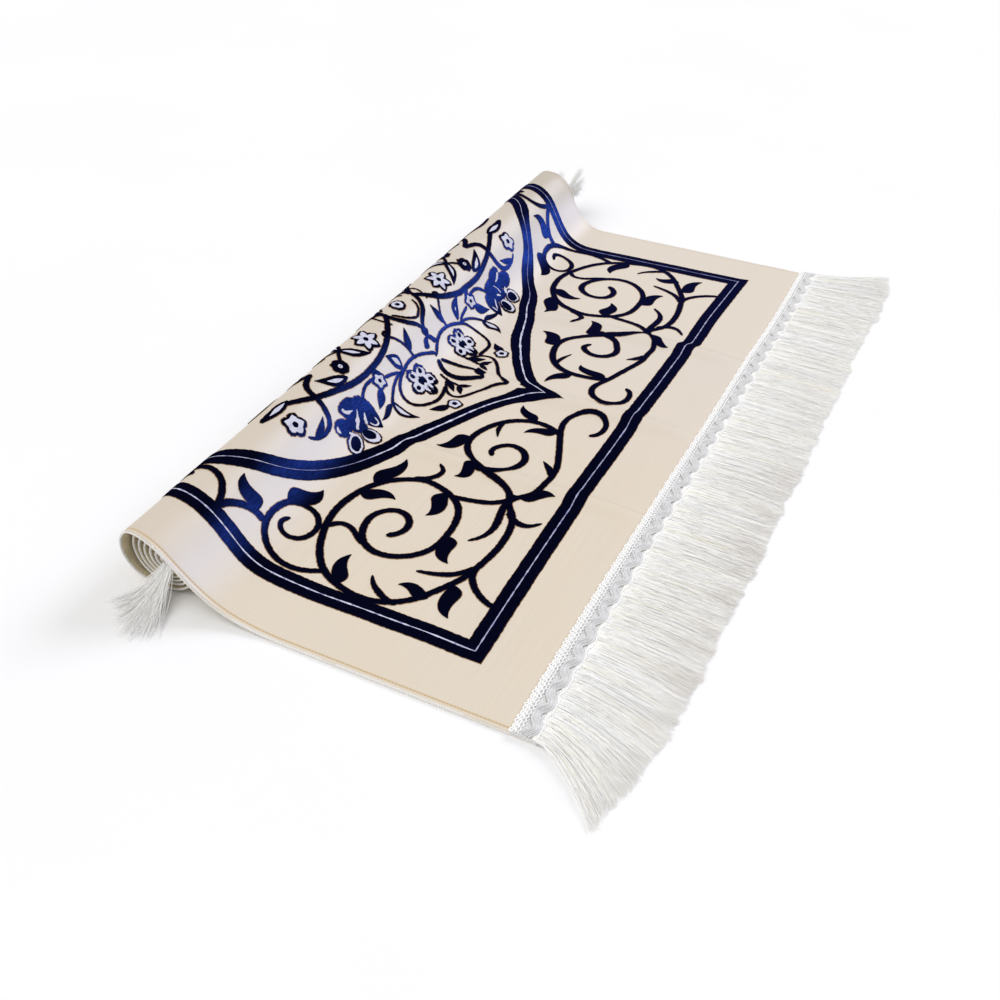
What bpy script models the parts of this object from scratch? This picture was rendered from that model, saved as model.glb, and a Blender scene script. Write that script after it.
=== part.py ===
"""Prayer rug, half unrolled: a satin sheet with side hems, one end still wound in a loose roll.

The long side of the roll lies along Y. The open end of the sheet lies flat on the floor
towards +X and carries a fringe with a wavy braid. The wound end has a fringe of its own,
which hangs out of both ends of the roll. The origin is on the floor, under the middle of
the whole thing. Sections are worked out at the two side edges of the sheet and joined by
straight lines between them, with soft fold ridges laid on top.
"""
import math

import bmesh
import bpy
from mathutils import Vector

# --- driving dimensions, metres -------------------------------------------------------
RUG_WIDTH = 0.700
SHEET_T = 0.0017
PIECE_GAP = 0.0003

# The frame of the tables below has X = 0 at the inner edge of the fringe tape. The part's
# origin is in the middle of its box, this far towards the roll.
ORIGIN_X = -0.1086
ORIGIN_Y = 0.0

TAPE_WIDTH = 0.0225
TAPE_T = 0.0016
TAPE_LAP = 0.0180           # how far the tape lies over the sheet's end
TAPE_BASE = 0.0008          # underside of the tape's outer edge, past the sheet's end
FRINGE_LENGTH = 0.0690
LOCK_COUNT = 128
LOCK_FILL = 0.78            # share of its pitch that a lock's root takes
LOCKS_PER_BAY = 4           # locks for each face of the tape's back

# How far the tape's inner edge bows towards the fringe: place across the rug, and the bow.
TAPE_BOW = ((-0.350, 0.0), (-0.200, 0.0), (-0.050, 0.0013), (0.030, 0.0026), (0.150, 0.0028),
            (0.210, 0.0048), (0.280, 0.0047), (0.350, 0.0036))

BRAID_WIDTH = 0.0056
BRAID_T = 0.0012
BRAID_WAVE = 0.0215
BRAID_LAG = 0.11            # share of a wave that it is behind at the near end
BRAID_SWING = 0.0025
BRAID_BOW = 0.7             # share of the tape's bow that the braid has
BRAID_STEPS = 8             # points for each wave
BRAID_INSET = 0.0015        # from the tape's ends

TUFT_LOCKS = 8              # locks of strands that show at each end of the roll
TUFT_TAPE_T = 0.0011
TUFT_TURNS = 0.36           # share of a turn that the wound end's tape takes in the core
TUFT_FILL = 0.70
TUFT_STEPS = 6
TUFT_ROOT_HALF = 0.0004     # half sizes of a tuft's lock, near its root and at its tip
TUFT_TIP_HALF = (0.0012, 0.0006)
TUFT_START = 0.012          # turns between the sheet's wound end and its tape
TUFT_OUT = 0.016            # how far a tuft's lock runs straight out of the core
TUFT_LANDING = 0.014        # how far before its tip it has taken up its last direction
TUFT_TURNED = 1.2           # how soon its section has turned level, as 1 over the share

ROLL_TURNS = 6.44
STEPS_PER_TURN = 22
SLOPE_STEPS = 9
CORE_RADIUS = 0.0045
SLIP = 0.0105               # how far the wound turns have slid along the roll, towards +Y
SLIP_TURNS = 0.9            # within this many turns
SLIP_PER_TURN = 0.0003

# The roll at its two ends, as halves of an egg whose long axis runs up and away from the
# sheet. centre_x/centre_z: its middle; half_long: along the long axis; half_open and
# half_back: across it, on the side where the sheet leaves and on the other side; drop:
# slope of the leaving sheet, degrees below level; foot_x: where it reaches the floor;
# foot_pull/drop_pull: lengths of the slope's two handles.
ROLL = {
    "near": dict(centre_x=-0.2685, centre_z=0.0268, half_long=0.0298, half_open=0.0192,
                 half_back=0.0282, drop=45.0, foot_x=-0.160, foot_pull=0.058, drop_pull=0.034),
    "far": dict(centre_x=-0.2835, centre_z=0.0303, half_long=0.0298, half_open=0.0205,
                half_back=0.0272, drop=57.0, foot_x=-0.219, foot_pull=0.027, drop_pull=0.030),
}
CORE_SHIFT = (0.0035, -0.0030)      # the core's middle against the outer turn's, X and Z
OPEN_GAP = 0.0013                   # dark gap under the leaving sheet, before the next turn
FLOOR_PRESS = 0.0030                # how much the turns are pressed flat where they rest
PRESS_FOCUS = 4                     # the higher, the narrower the pressed part

# Soft fold ridges that run along X on the flat sheet.
# y: place across the rug; height: rise of the ridge; reach: half of its width
RIDGES = (
    dict(y=-0.118, height=0.0034, reach=0.015),
    dict(y=0.004, height=0.0042, reach=0.017),
    dict(y=0.139, height=0.0038, reach=0.016),
)
RIDGE_STEPS = (-1.0, -0.55, -0.2, 0.2, 0.55, 1.0)
# Rows of the flat sheet from its open end: x, and the share of their height that ridges have.
FLAT_ROWS = ((TAPE_LAP, 0.0), (0.0, 0.0), (-0.020, 0.7), (-0.060, 1.0), (-0.110, 1.0))
RIDGE_FADE = 1.6                    # how soon the ridges die away up the slope, as 1 over the share

# How the strands of the open end's fringe lie along its length: share of the full length,
# half width as a share of the root's, underside and top above the floor.
LOCK_SECTIONS = (
    dict(along=0.20, width=0.96, under=0.0, top=0.0027),
    dict(along=0.60, width=0.88, under=0.0, top=0.0021),
    dict(along=1.00, width=0.62, under=0.0, top=0.0012),
)
# Sideways sweep of the strands at the two corners. Each corner's sweep is a short one and a
# long one: carry is how far it takes the corner's tip outwards, reach how soon it dies away
# along the edge. shorter: how much of their length the strands lose at the corner.
CORNER_SWEEP = {
    "near": dict(carry=0.0290, reach=0.028, long_carry=0.0150, long_reach=0.120, shorter=0.095),
    "far": dict(carry=0.0300, reach=0.022, long_carry=0.0060, long_reach=0.080, shorter=0.030),
}
SWEEP_CURVE = 1.6                   # how late along its length a strand turns aside
SPREAD = 14.0                       # how much wider a lock gets at its tip for each metre of sweep
LENGTH_CHANGE = dict(size=0.030, pace=47.0, seed=1.3)   # share of the length
SWAY = dict(size=0.0016, pace=31.0, seed=0.4)           # metres sideways at the tip

# Tips of the strands at the roll's ends, in the order of their roots round the core.
NEAR_TIPS = (
    dict(x=-0.2925, y=-0.3680), dict(x=-0.2860, y=-0.3735), dict(x=-0.2790, y=-0.3790),
    dict(x=-0.2725, y=-0.3850), dict(x=-0.2650, y=-0.3895), dict(x=-0.2575, y=-0.3905),
    dict(x=-0.2515, y=-0.3880), dict(x=-0.2450, y=-0.3830),
)
FAR_TIPS = (
    dict(x=-0.2900, y=0.3850, z=0.0455), dict(x=-0.2925, y=0.3870, z=0.0360),
    dict(x=-0.2880, y=0.3885, z=0.0270), dict(x=-0.2790, y=0.3895, z=0.0215),
    dict(x=-0.2700, y=0.3900, z=0.0225), dict(x=-0.2655, y=0.3905, z=0.0300),
    dict(x=-0.2640, y=0.3900, z=0.0400), dict(x=-0.2680, y=0.3885, z=0.0510),
)


def clear_scene():
    for item in list(bpy.data.objects):
        bpy.data.objects.remove(item, do_unlink=True)


def material(name, colour, roughness):
    made = bpy.data.materials.new(name)
    made.use_nodes = True
    shader = made.node_tree.nodes["Principled BSDF"]
    shader.inputs["Base Color"].default_value = (*colour, 1.0)
    shader.inputs["Roughness"].default_value = roughness
    shader.inputs["Metallic"].default_value = 0.0
    return made


def add_object(name, mesh_data, finish):
    made = bpy.data.objects.new(name, mesh_data)
    bpy.context.scene.collection.objects.link(made)
    made.data.materials.append(finish)
    return made


def smooth(share):
    share = min(max(share, 0.0), 1.0)
    return share * share * (3.0 - 2.0 * share)


# --- the sheet's section --------------------------------------------------------------
def turn_point(end, turns):
    """The middle of the sheet after this many turns, from where it meets the roll."""
    row = ROLL[end]
    wound = turns / ROLL_TURNS
    lean = math.radians(90.0 - row["drop"])
    angle = 2.0 * math.pi * turns
    opened = row["half_open"] - OPEN_GAP * smooth(turns)
    across = opened if math.cos(angle) > 0.0 else row["half_back"]
    across += (CORE_RADIUS - across) * wound
    along = row["half_long"] + (CORE_RADIUS - row["half_long"]) * wound
    u = across * math.cos(angle)
    v = along * math.sin(angle)
    x = row["centre_x"] + CORE_SHIFT[0] * wound + u * math.cos(lean) - v * math.sin(lean)
    z = row["centre_z"] + CORE_SHIFT[1] * wound + u * math.sin(lean) + v * math.cos(lean)
    under = max(-math.sin(angle + lean), 0.0) ** PRESS_FOCUS
    return x, max(z + FLOOR_PRESS * under * (1.0 - wound), SHEET_T / 2)


def slope_point(end, share):
    """The slope between the floor (share 0) and the roll (share 1), as one Bezier."""
    row = ROLL[end]
    drop = math.radians(row["drop"])
    foot = Vector((row["foot_x"], SHEET_T / 2))
    top = Vector(turn_point(end, 0.0))
    foot_handle = foot + Vector((-row["foot_pull"], 0.0))
    top_handle = top + row["drop_pull"] * Vector((math.cos(drop), -math.sin(drop)))
    rest = 1.0 - share
    place = (rest ** 3 * foot + 3 * rest ** 2 * share * foot_handle
             + 3 * rest * share ** 2 * top_handle + share ** 3 * top)
    return place.x, place.y


def slip_at(turns):
    """How far the sheet has slid towards +Y where it has been wound this many turns."""
    return SLIP * smooth(turns / SLIP_TURNS) + SLIP_PER_TURN * turns


def sheet_rows():
    """Rows of the sheet from its open end to its wound end: near and far points, slip, ridge."""
    rows = []
    for x, rise in FLAT_ROWS:
        rows.append(((x, SHEET_T / 2), (x, SHEET_T / 2), 0.0, rise))
    for step in range(SLOPE_STEPS + 1):
        share = step / SLOPE_STEPS
        rise = 1.0 - smooth(share * RIDGE_FADE)
        rows.append((slope_point("near", share), slope_point("far", share), 0.0, rise))
    steps = round(ROLL_TURNS * STEPS_PER_TURN)
    for step in range(1, steps + 1):
        turns = ROLL_TURNS * step / steps
        rows.append((turn_point("near", turns), turn_point("far", turns), slip_at(turns), 0.0))
    return rows


def across_stations():
    """Places across the rug that the ridges need, from its near side to its far side."""
    places = {-RUG_WIDTH / 2, RUG_WIDTH / 2}
    for ridge in RIDGES:
        places.update(ridge["y"] + share * ridge["reach"] for share in RIDGE_STEPS)
    return sorted(places)


def ridge_height(y):
    total = 0.0
    for ridge in RIDGES:
        away = abs(y - ridge["y"]) / ridge["reach"]
        if away < 1.0:
            total += ridge["height"] * math.cos(away * math.pi / 2) ** 2
    return total


def placed(x, y, z):
    """A point of the tables' frame in the part's own frame."""
    return Vector((x - ORIGIN_X, y - ORIGIN_Y, z))


def place_of(row, y):
    near, far, slip, rise = row
    share = (y + RUG_WIDTH / 2) / RUG_WIDTH
    x = near[0] + (far[0] - near[0]) * share
    z = near[1] + (far[1] - near[1]) * share + rise * ridge_height(y)
    return placed(x, y + slip, z)


def make_cloth(finish):
    """The whole sheet: fine across where the ridges are, and ruled from side to side in the roll."""
    stations = across_stations()
    sides = (stations[0], stations[-1])
    shape = bmesh.new()
    fine_rows = len(sheet_rows()) - round(ROLL_TURNS * STEPS_PER_TURN)
    before = None
    for number, row in enumerate(sheet_rows()):
        fine = number < fine_rows - 1
        line = [shape.verts.new(place_of(row, y)) for y in (stations if fine else sides)]
        if before is not None:
            join_rows(shape, before, line)
        before = line
    cloth = bpy.data.meshes.new("rug_cloth")
    shape.to_mesh(cloth)
    shape.free()
    made = add_object("rug_cloth", cloth, finish)
    thick = made.modifiers.new("thickness", "SOLIDIFY")
    thick.thickness = SHEET_T
    thick.offset = 0.0
    thick.use_even_offset = True
    return made


def join_rows(shape, before, line):
    """Faces between two rows of vertices, as a fan where the second row has only its ends."""
    if len(before) == len(line):
        for step in range(len(line) - 1):
            shape.faces.new((before[step], before[step + 1], line[step + 1], line[step]))
        return
    half = len(before) // 2
    for step in range(half):
        shape.faces.new((before[step], before[step + 1], line[0]))
    shape.faces.new((before[half], line[-1], line[0]))
    for step in range(half, len(before) - 1):
        shape.faces.new((before[step], before[step + 1], line[-1]))


# --- fringes --------------------------------------------------------------------------
def grow_lock(shape, root, sections):
    """One lock of strands, from the four corners of its root through four-cornered sections."""
    ring = root
    for corners in sections:
        ahead = [shape.verts.new(corner) for corner in corners]
        for side in range(4):
            after = (side + 1) % 4
            shape.faces.new((ring[side], ring[after], ahead[after], ahead[side]))
        ring = ahead
    shape.faces.new(ring)


def close_shape(shape, name, finish):
    bmesh.ops.recalc_face_normals(shape, faces=shape.faces)
    data = bpy.data.meshes.new(name)
    shape.to_mesh(data)
    shape.free()
    return add_object(name, data, finish)


def uneven(place, size, pace, seed):
    """A smooth value within this size of zero that wanders along the rug, the same on each run."""
    return size * (math.sin(place * pace + seed) + math.sin(place * pace * 2.3 + 1.7 * seed)
                   + math.sin(place * pace * 5.1 + 2.9 * seed)) / 3.0


def corner_sweep(y):
    total = 0.0
    for row, away, side in ((CORNER_SWEEP["near"], y + RUG_WIDTH / 2, -1),
                            (CORNER_SWEEP["far"], RUG_WIDTH / 2 - y, 1)):
        total += side * (row["carry"] * math.exp(-away / row["reach"])
                         + row["long_carry"] * math.exp(-away / row["long_reach"]))
    return total


def strand_length(y):
    near, far = CORNER_SWEEP["near"], CORNER_SWEEP["far"]
    lost = (near["shorter"] * math.exp(-(y + RUG_WIDTH / 2) / near["long_reach"])
            + far["shorter"] * math.exp(-(RUG_WIDTH / 2 - y) / far["long_reach"]))
    return FRINGE_LENGTH * (1.0 - lost + uneven(y, **LENGTH_CHANGE))


def tape_bow(y):
    for (first, low), (second, high) in zip(TAPE_BOW, TAPE_BOW[1:]):
        if y <= second:
            return low + (high - low) * (y - first) / (second - first)
    return TAPE_BOW[-1][1]


def lock_sections(y, half_width):
    """The sections of the lock that starts at this place on the open end's fringe."""
    sweep = corner_sweep(y) + uneven(y, **SWAY)
    reach = math.sqrt(strand_length(y) ** 2 - sweep ** 2)
    spread = SPREAD * abs(corner_sweep(y))
    sections = []
    for row in LOCK_SECTIONS:
        x = TAPE_WIDTH + reach * row["along"]
        middle = y + sweep * row["along"] ** SWEEP_CURVE
        half = half_width * row["width"] * (1.0 + spread * row["along"])
        sections.append([placed(x, middle - half, row["top"]), placed(x, middle + half, row["top"]),
                         placed(x, middle + half, row["under"]), placed(x, middle - half, row["under"])])
    return sections


def make_end_fringe(finish):
    """The tape on the sheet's open end, with its locks grown from the tape's outer face."""
    shape = bmesh.new()
    pitch = RUG_WIDTH / LOCK_COUNT
    half_root = pitch * LOCK_FILL / 2
    tape_under = SHEET_T + PIECE_GAP
    tape_top = tape_under + TAPE_T
    back_x = TAPE_LAP + PIECE_GAP
    fine, coarse = [-RUG_WIDTH / 2], [-RUG_WIDTH / 2]
    for lock in range(LOCK_COUNT):
        middle = -RUG_WIDTH / 2 + pitch * (lock + 0.5)
        fine += [middle - half_root, middle + half_root]
        if lock % LOCKS_PER_BAY == LOCKS_PER_BAY - 1:
            fine.append(middle + pitch / 2)
            coarse.append(middle + pitch / 2)

    def edge(stations, x, z, bowed=0.0):
        return [shape.verts.new(placed(x + bowed * tape_bow(y), y, z)) for y in stations]

    upper, lower = edge(fine, TAPE_WIDTH, tape_top), edge(fine, TAPE_WIDTH, TAPE_BASE)
    section = [edge(coarse, back_x, TAPE_BASE), edge(coarse, back_x, tape_under),
               edge(coarse, 0.0, tape_under, bowed=1.0), edge(coarse, 0.0, tape_top, bowed=1.0)]
    for first, second in zip(section, section[1:]):
        join_rows(shape, first, second)
    per_bay = 2 * LOCKS_PER_BAY + 1
    for bay in range(len(coarse) - 1):
        span = slice(bay * per_bay, (bay + 1) * per_bay + 1)
        join_rows(shape, lower[span], section[0][bay:bay + 2])
        join_rows(shape, upper[span], section[3][bay:bay + 2])
        for cell in range(per_bay):
            first = bay * per_bay + cell
            face = (upper[first], upper[first + 1], lower[first + 1], lower[first])
            if cell % 2 == 0:
                shape.faces.new(face)
            else:
                middle = (fine[first] + fine[first + 1]) / 2
                grow_lock(shape, face, lock_sections(middle, half_root))
    for end in (0, -1):
        shape.faces.new((upper[end], lower[end], section[0][end], section[1][end]))
        shape.faces.new((upper[end], section[1][end], section[2][end], section[3][end]))
    return close_shape(shape, "end_fringe", finish)


def make_braid(finish):
    """The flat braid that waves along the middle of the tape."""
    shape = bmesh.new()
    under = SHEET_T + PIECE_GAP + TAPE_T + PIECE_GAP
    half_run = RUG_WIDTH / 2 - BRAID_INSET
    steps = round(2 * half_run / BRAID_WAVE * BRAID_STEPS)
    ring = None
    for step in range(steps + 1):
        y = -half_run + 2 * half_run * step / steps
        phase = 2 * math.pi * ((y + half_run) / BRAID_WAVE - BRAID_LAG)
        x = TAPE_WIDTH / 2 + BRAID_BOW * tape_bow(y) + BRAID_SWING * math.sin(phase)
        slope = BRAID_SWING * 2 * math.pi / BRAID_WAVE * math.cos(phase)
        across = Vector((1.0, -slope)).normalized() * BRAID_WIDTH / 2
        corners = [placed(x + side * across.x, y + side * across.y, z)
                   for side, z in ((-1, under), (1, under), (1, under + BRAID_T), (-1, under + BRAID_T))]
        ahead = [shape.verts.new(corner) for corner in corners]
        if ring is None:
            shape.faces.new(ahead)
        else:
            for side in range(4):
                after = (side + 1) % 4
                shape.faces.new((ring[side], ring[after], ahead[after], ahead[side]))
        ring = ahead
    shape.faces.new(ring)
    return close_shape(shape, "header_braid", finish)


def core_corner(end, turns, side):
    """A corner of the wound end's tape: side 1 towards the core's middle, -1 away from it."""
    x, z = turn_point(end, turns)
    row = ROLL[end]
    inward = Vector((row["centre_x"] + CORE_SHIFT[0] - x, row["centre_z"] + CORE_SHIFT[1] - z)).normalized()
    y = (-1 if end == "near" else 1) * RUG_WIDTH / 2 + slip_at(ROLL_TURNS)
    return placed(x + side * inward.x * TUFT_TAPE_T / 2, y, z + side * inward.y * TUFT_TAPE_T / 2)


def tuft_sections(root, tip, level):
    """Sections of a tuft's lock, from its root's corners to its tip, along a Bezier."""
    start = sum((Vector(corner) for corner in root), Vector()) / 4
    outward = Vector((0.0, math.copysign(1.0, tip.y), 0.0))
    first_handle = start + outward * TUFT_OUT
    back = start - tip
    if level:
        back.z = 0.0
    last_handle = tip + back.normalized() * TUFT_LANDING
    sections = []
    for step in range(1, TUFT_STEPS + 1):
        share = step / TUFT_STEPS
        rest = 1.0 - share
        middle = (rest ** 3 * start + 3 * rest ** 2 * share * first_handle
                  + 3 * rest * share ** 2 * last_handle + share ** 3 * tip)
        half_x, half_z = (TUFT_ROOT_HALF + (size - TUFT_ROOT_HALF) * share for size in TUFT_TIP_HALF)
        flat = [Vector((side * half_x, 0.0, height * half_z))
                for side, height in ((-1, -1), (1, -1), (1, 1), (-1, 1))]
        turned = smooth(share * TUFT_TURNED)
        corners = []
        for corner, offset in zip(root, flat):
            rooted = Vector(corner) - start
            corners.append(middle + rooted.lerp(offset, turned))
        sections.append(corners)
    return sections


def make_inner_fringe(finish):
    """The wound end's tape in the core of the roll, with the strands that show at both ends."""
    shape = bmesh.new()
    start = ROLL_TURNS + TUFT_START
    pitch = TUFT_TURNS / TUFT_LOCKS
    edges = [start]
    for lock in range(TUFT_LOCKS):
        middle = start + pitch * (lock + 0.5)
        edges += [middle - pitch * TUFT_FILL / 2, middle + pitch * TUFT_FILL / 2]
    edges.append(start + TUFT_TURNS)
    rings = {}
    for end in ("near", "far"):
        rings[end] = {side: [shape.verts.new(core_corner(end, turns, side)) for turns in edges]
                      for side in (-1, 1)}
    for side in (-1, 1):
        join_rows(shape, rings["near"][side], rings["far"][side])
    for last in (0, -1):
        shape.faces.new([rings[end][side][last]
                         for end, side in (("near", -1), ("near", 1), ("far", 1), ("far", -1))])
    for end, tips in (("near", NEAR_TIPS), ("far", FAR_TIPS)):
        outer, inner = rings[end][-1], rings[end][1]
        for cell in range(len(edges) - 1):
            face = (outer[cell], outer[cell + 1], inner[cell + 1], inner[cell])
            if cell % 2 == 0:
                shape.faces.new(face)
                continue
            row = tips[cell // 2]
            tip = placed(row["x"], row["y"], row.get("z", TUFT_TIP_HALF[1]))
            corners = [vert.co.copy() for vert in face]
            grow_lock(shape, face, tuft_sections(corners, tip, "z" not in row))
    return close_shape(shape, "inner_fringe", finish)


def main():
    clear_scene()
    satin = material("satin", (0.80, 0.73, 0.62), 0.45)
    yarn = material("fringe_yarn", (0.86, 0.86, 0.83), 0.60)
    silver = material("silver_braid", (0.62, 0.62, 0.63), 0.45)
    make_cloth(satin)
    make_end_fringe(yarn)
    make_braid(silver)
    make_inner_fringe(yarn)


main()
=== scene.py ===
"""A satin prayer rug, half unrolled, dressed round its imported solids.

The satin sheet takes the solid's folds and turns. Its raised pile ornament, its side bindings,
its two fringes and the wavy braid are pieces of their own. The ornament is drawn flat, in
millimetres across the rug and along it from the fringe, and is then laid on the sheet.
"""
import math

import bmesh
import bpy
import numpy as np
from mathutils import Matrix, Vector


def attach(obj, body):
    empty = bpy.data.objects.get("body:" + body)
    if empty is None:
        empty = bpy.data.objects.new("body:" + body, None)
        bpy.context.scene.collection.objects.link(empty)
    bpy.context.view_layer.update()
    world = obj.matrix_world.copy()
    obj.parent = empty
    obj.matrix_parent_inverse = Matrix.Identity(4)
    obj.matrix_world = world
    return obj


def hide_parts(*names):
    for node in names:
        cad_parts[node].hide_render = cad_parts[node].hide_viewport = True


bl_info = {
    "name": "Half Unrolled Prayer Rug",
    "version": (1, 0, 0),
    "blender": (4, 5, 0),
    "location": "View3D > Sidebar > Rug",
    "description": "Dresses a half unrolled satin prayer rug with pile ornament and fringes",
    "category": "Add Mesh",
}

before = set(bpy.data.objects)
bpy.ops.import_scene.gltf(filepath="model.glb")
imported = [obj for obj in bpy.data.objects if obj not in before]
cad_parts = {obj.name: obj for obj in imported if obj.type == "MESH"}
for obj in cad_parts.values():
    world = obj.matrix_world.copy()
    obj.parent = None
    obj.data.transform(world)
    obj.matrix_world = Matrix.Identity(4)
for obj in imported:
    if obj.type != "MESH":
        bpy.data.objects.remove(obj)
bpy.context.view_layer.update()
MM = 0.001

# --- the sheet's form, as its solid has it ----------------------------------------------
RUG_WIDTH = 0.700
HALF_WIDTH = RUG_WIDTH / 2
SOLID_T = 0.0017        # thickness of the cloth's solid
PIECE_GAP = 0.0003      # left between solids that lie on each other
ORIGIN_X = -0.1086      # the part's origin in the tables' frame, whose X is 0 at the tape
TAPE_WIDTH = 0.0225
TAPE_T = 0.0016
TAPE_LAP = 0.0180       # how far the tape lies over the sheet's end
FRINGE_LENGTH = 0.0690
ROLL_TURNS = 6.44
CORE_RADIUS = 0.0045
CORE_SHIFT = (0.0035, -0.0030)
OPEN_GAP = 0.0013       # dark gap under the leaving sheet, before the next turn
FLOOR_PRESS = 0.0030    # how much the turns are pressed flat where they rest
PRESS_FOCUS = 4         # the higher, the narrower the pressed part
SLIP = 0.0105           # how far the wound turns have slid along the roll, towards +Y
SLIP_TURNS = 0.9        # within this many turns
SLIP_PER_TURN = 0.0003
# The roll's section at its two ends, and the slope that leads to it.
ROLL = {
    "near": dict(centre_x=-0.2685, centre_z=0.0268, half_long=0.0298, half_open=0.0192,
                 half_back=0.0282, drop=45.0, foot_x=-0.160, foot_pull=0.058, drop_pull=0.034),
    "far": dict(centre_x=-0.2835, centre_z=0.0303, half_long=0.0298, half_open=0.0205,
                half_back=0.0272, drop=57.0, foot_x=-0.219, foot_pull=0.027, drop_pull=0.030),
}
# Soft fold ridges that run along X on the flat sheet.
RIDGES = (
    dict(y=-0.118, height=0.0034, reach=0.015),
    dict(y=0.004, height=0.0042, reach=0.017),
    dict(y=0.139, height=0.0038, reach=0.016),
)
RIDGE_FADE = 1.6        # the higher, the sooner the ridges end on the slope
# Rows of the flat sheet from its open end: x, and the share of their height that ridges have.
FLAT_ROWS = ((TAPE_LAP, 0.0), (0.0, 0.0), (-0.020, 0.7), (-0.060, 1.0), (-0.110, 1.0))
SLOPE_ROWS = 48
ROWS_PER_TURN = 72
# How the open end's strands sweep round at the two corners, and how much shorter they are.
CORNER_SWEEP = {
    "near": dict(carry=0.0290, reach=0.028, long_carry=0.0150, long_reach=0.120, shorter=0.095),
    "far": dict(carry=0.0300, reach=0.022, long_carry=0.0060, long_reach=0.080, shorter=0.030),
}
SWEEP_CURVE = 1.6
LENGTH_CHANGE = dict(size=0.030, pace=47.0, seed=1.3)      # along the row of strands
SWAY = dict(size=0.0016, pace=31.0, seed=0.4)              # to the side, as whole locks
# Where the locks that hang out of the roll end: x, y, and z where they don't reach the floor.
NEAR_TIPS = ((-0.2925, -0.3680), (-0.2860, -0.3735), (-0.2790, -0.3790), (-0.2725, -0.3850),
             (-0.2650, -0.3895), (-0.2575, -0.3905), (-0.2515, -0.3880), (-0.2450, -0.3830))
FAR_TIPS = ((-0.2900, 0.3850, 0.0455), (-0.2925, 0.3870, 0.0360), (-0.2880, 0.3885, 0.0270),
            (-0.2790, 0.3895, 0.0215), (-0.2700, 0.3900, 0.0225), (-0.2655, 0.3905, 0.0300),
            (-0.2640, 0.3900, 0.0400), (-0.2680, 0.3885, 0.0510))
# How far the tape's inner edge bows towards the fringe: place across the rug, and the bow.
TAPE_BOW = ((-0.350, 0.0), (-0.200, 0.0), (-0.050, 0.0013), (0.030, 0.0026), (0.150, 0.0028),
            (0.210, 0.0048), (0.280, 0.0047), (0.350, 0.0036))


def smooth(share):
    share = np.clip(share, 0.0, 1.0)
    return share * share * (3.0 - 2.0 * share)


def turn_point(end, turns):
    """The middle of the sheet after this many turns, from where it meets the roll."""
    row = ROLL[end]
    wound = turns / ROLL_TURNS
    lean = math.radians(90.0 - row["drop"])
    angle = 2.0 * math.pi * turns
    opened = row["half_open"] - OPEN_GAP * smooth(turns)
    across = opened if math.cos(angle) > 0.0 else row["half_back"]
    across += (CORE_RADIUS - across) * wound
    along = row["half_long"] + (CORE_RADIUS - row["half_long"]) * wound
    u = across * math.cos(angle)
    v = along * math.sin(angle)
    x = row["centre_x"] + CORE_SHIFT[0] * wound + u * math.cos(lean) - v * math.sin(lean)
    z = row["centre_z"] + CORE_SHIFT[1] * wound + u * math.sin(lean) + v * math.cos(lean)
    under = max(-math.sin(angle + lean), 0.0) ** PRESS_FOCUS
    return x, max(z + FLOOR_PRESS * under * (1.0 - wound), SOLID_T / 2)


def slope_point(end, share):
    """The slope between the floor (share 0) and the roll (share 1)."""
    row = ROLL[end]
    drop = math.radians(row["drop"])
    foot = np.array((row["foot_x"], SOLID_T / 2))
    top = np.array(turn_point(end, 0.0))
    ahead = foot - np.array((row["foot_pull"], 0.0))
    before = top + row["drop_pull"] * np.array((math.cos(drop), -math.sin(drop)))
    return tuple(bezier(foot, ahead, before, top, share))


def bezier(start, ahead, before, end, share):
    rest = 1.0 - share
    return (rest ** 3 * start + 3 * rest ** 2 * share * ahead
            + 3 * rest * share ** 2 * before + share ** 3 * end)


def slip_at(turns):
    return SLIP * smooth(turns / SLIP_TURNS) + SLIP_PER_TURN * turns


def tape_bow(y):
    places, bows = zip(*TAPE_BOW)
    return np.interp(y, places, bows)


def ripple(across, along):
    """Faint unevenness of the lying sheet."""
    bent = across * 71.0 + 3.0 * np.sin(along * 23.0)
    return 0.00016 * np.sin(bent) * np.sin(along * 43.0 + 1.3)


def ridge_height(y):
    total = np.zeros_like(y)
    for ridge in RIDGES:
        away = np.minimum(np.abs(y - ridge["y"]) / ridge["reach"], 1.0)
        total += ridge["height"] * np.cos(away * math.pi / 2) ** 2
    return total


HALVINGS = 26           # halvings of the span in which a place's row is looked for


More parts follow.
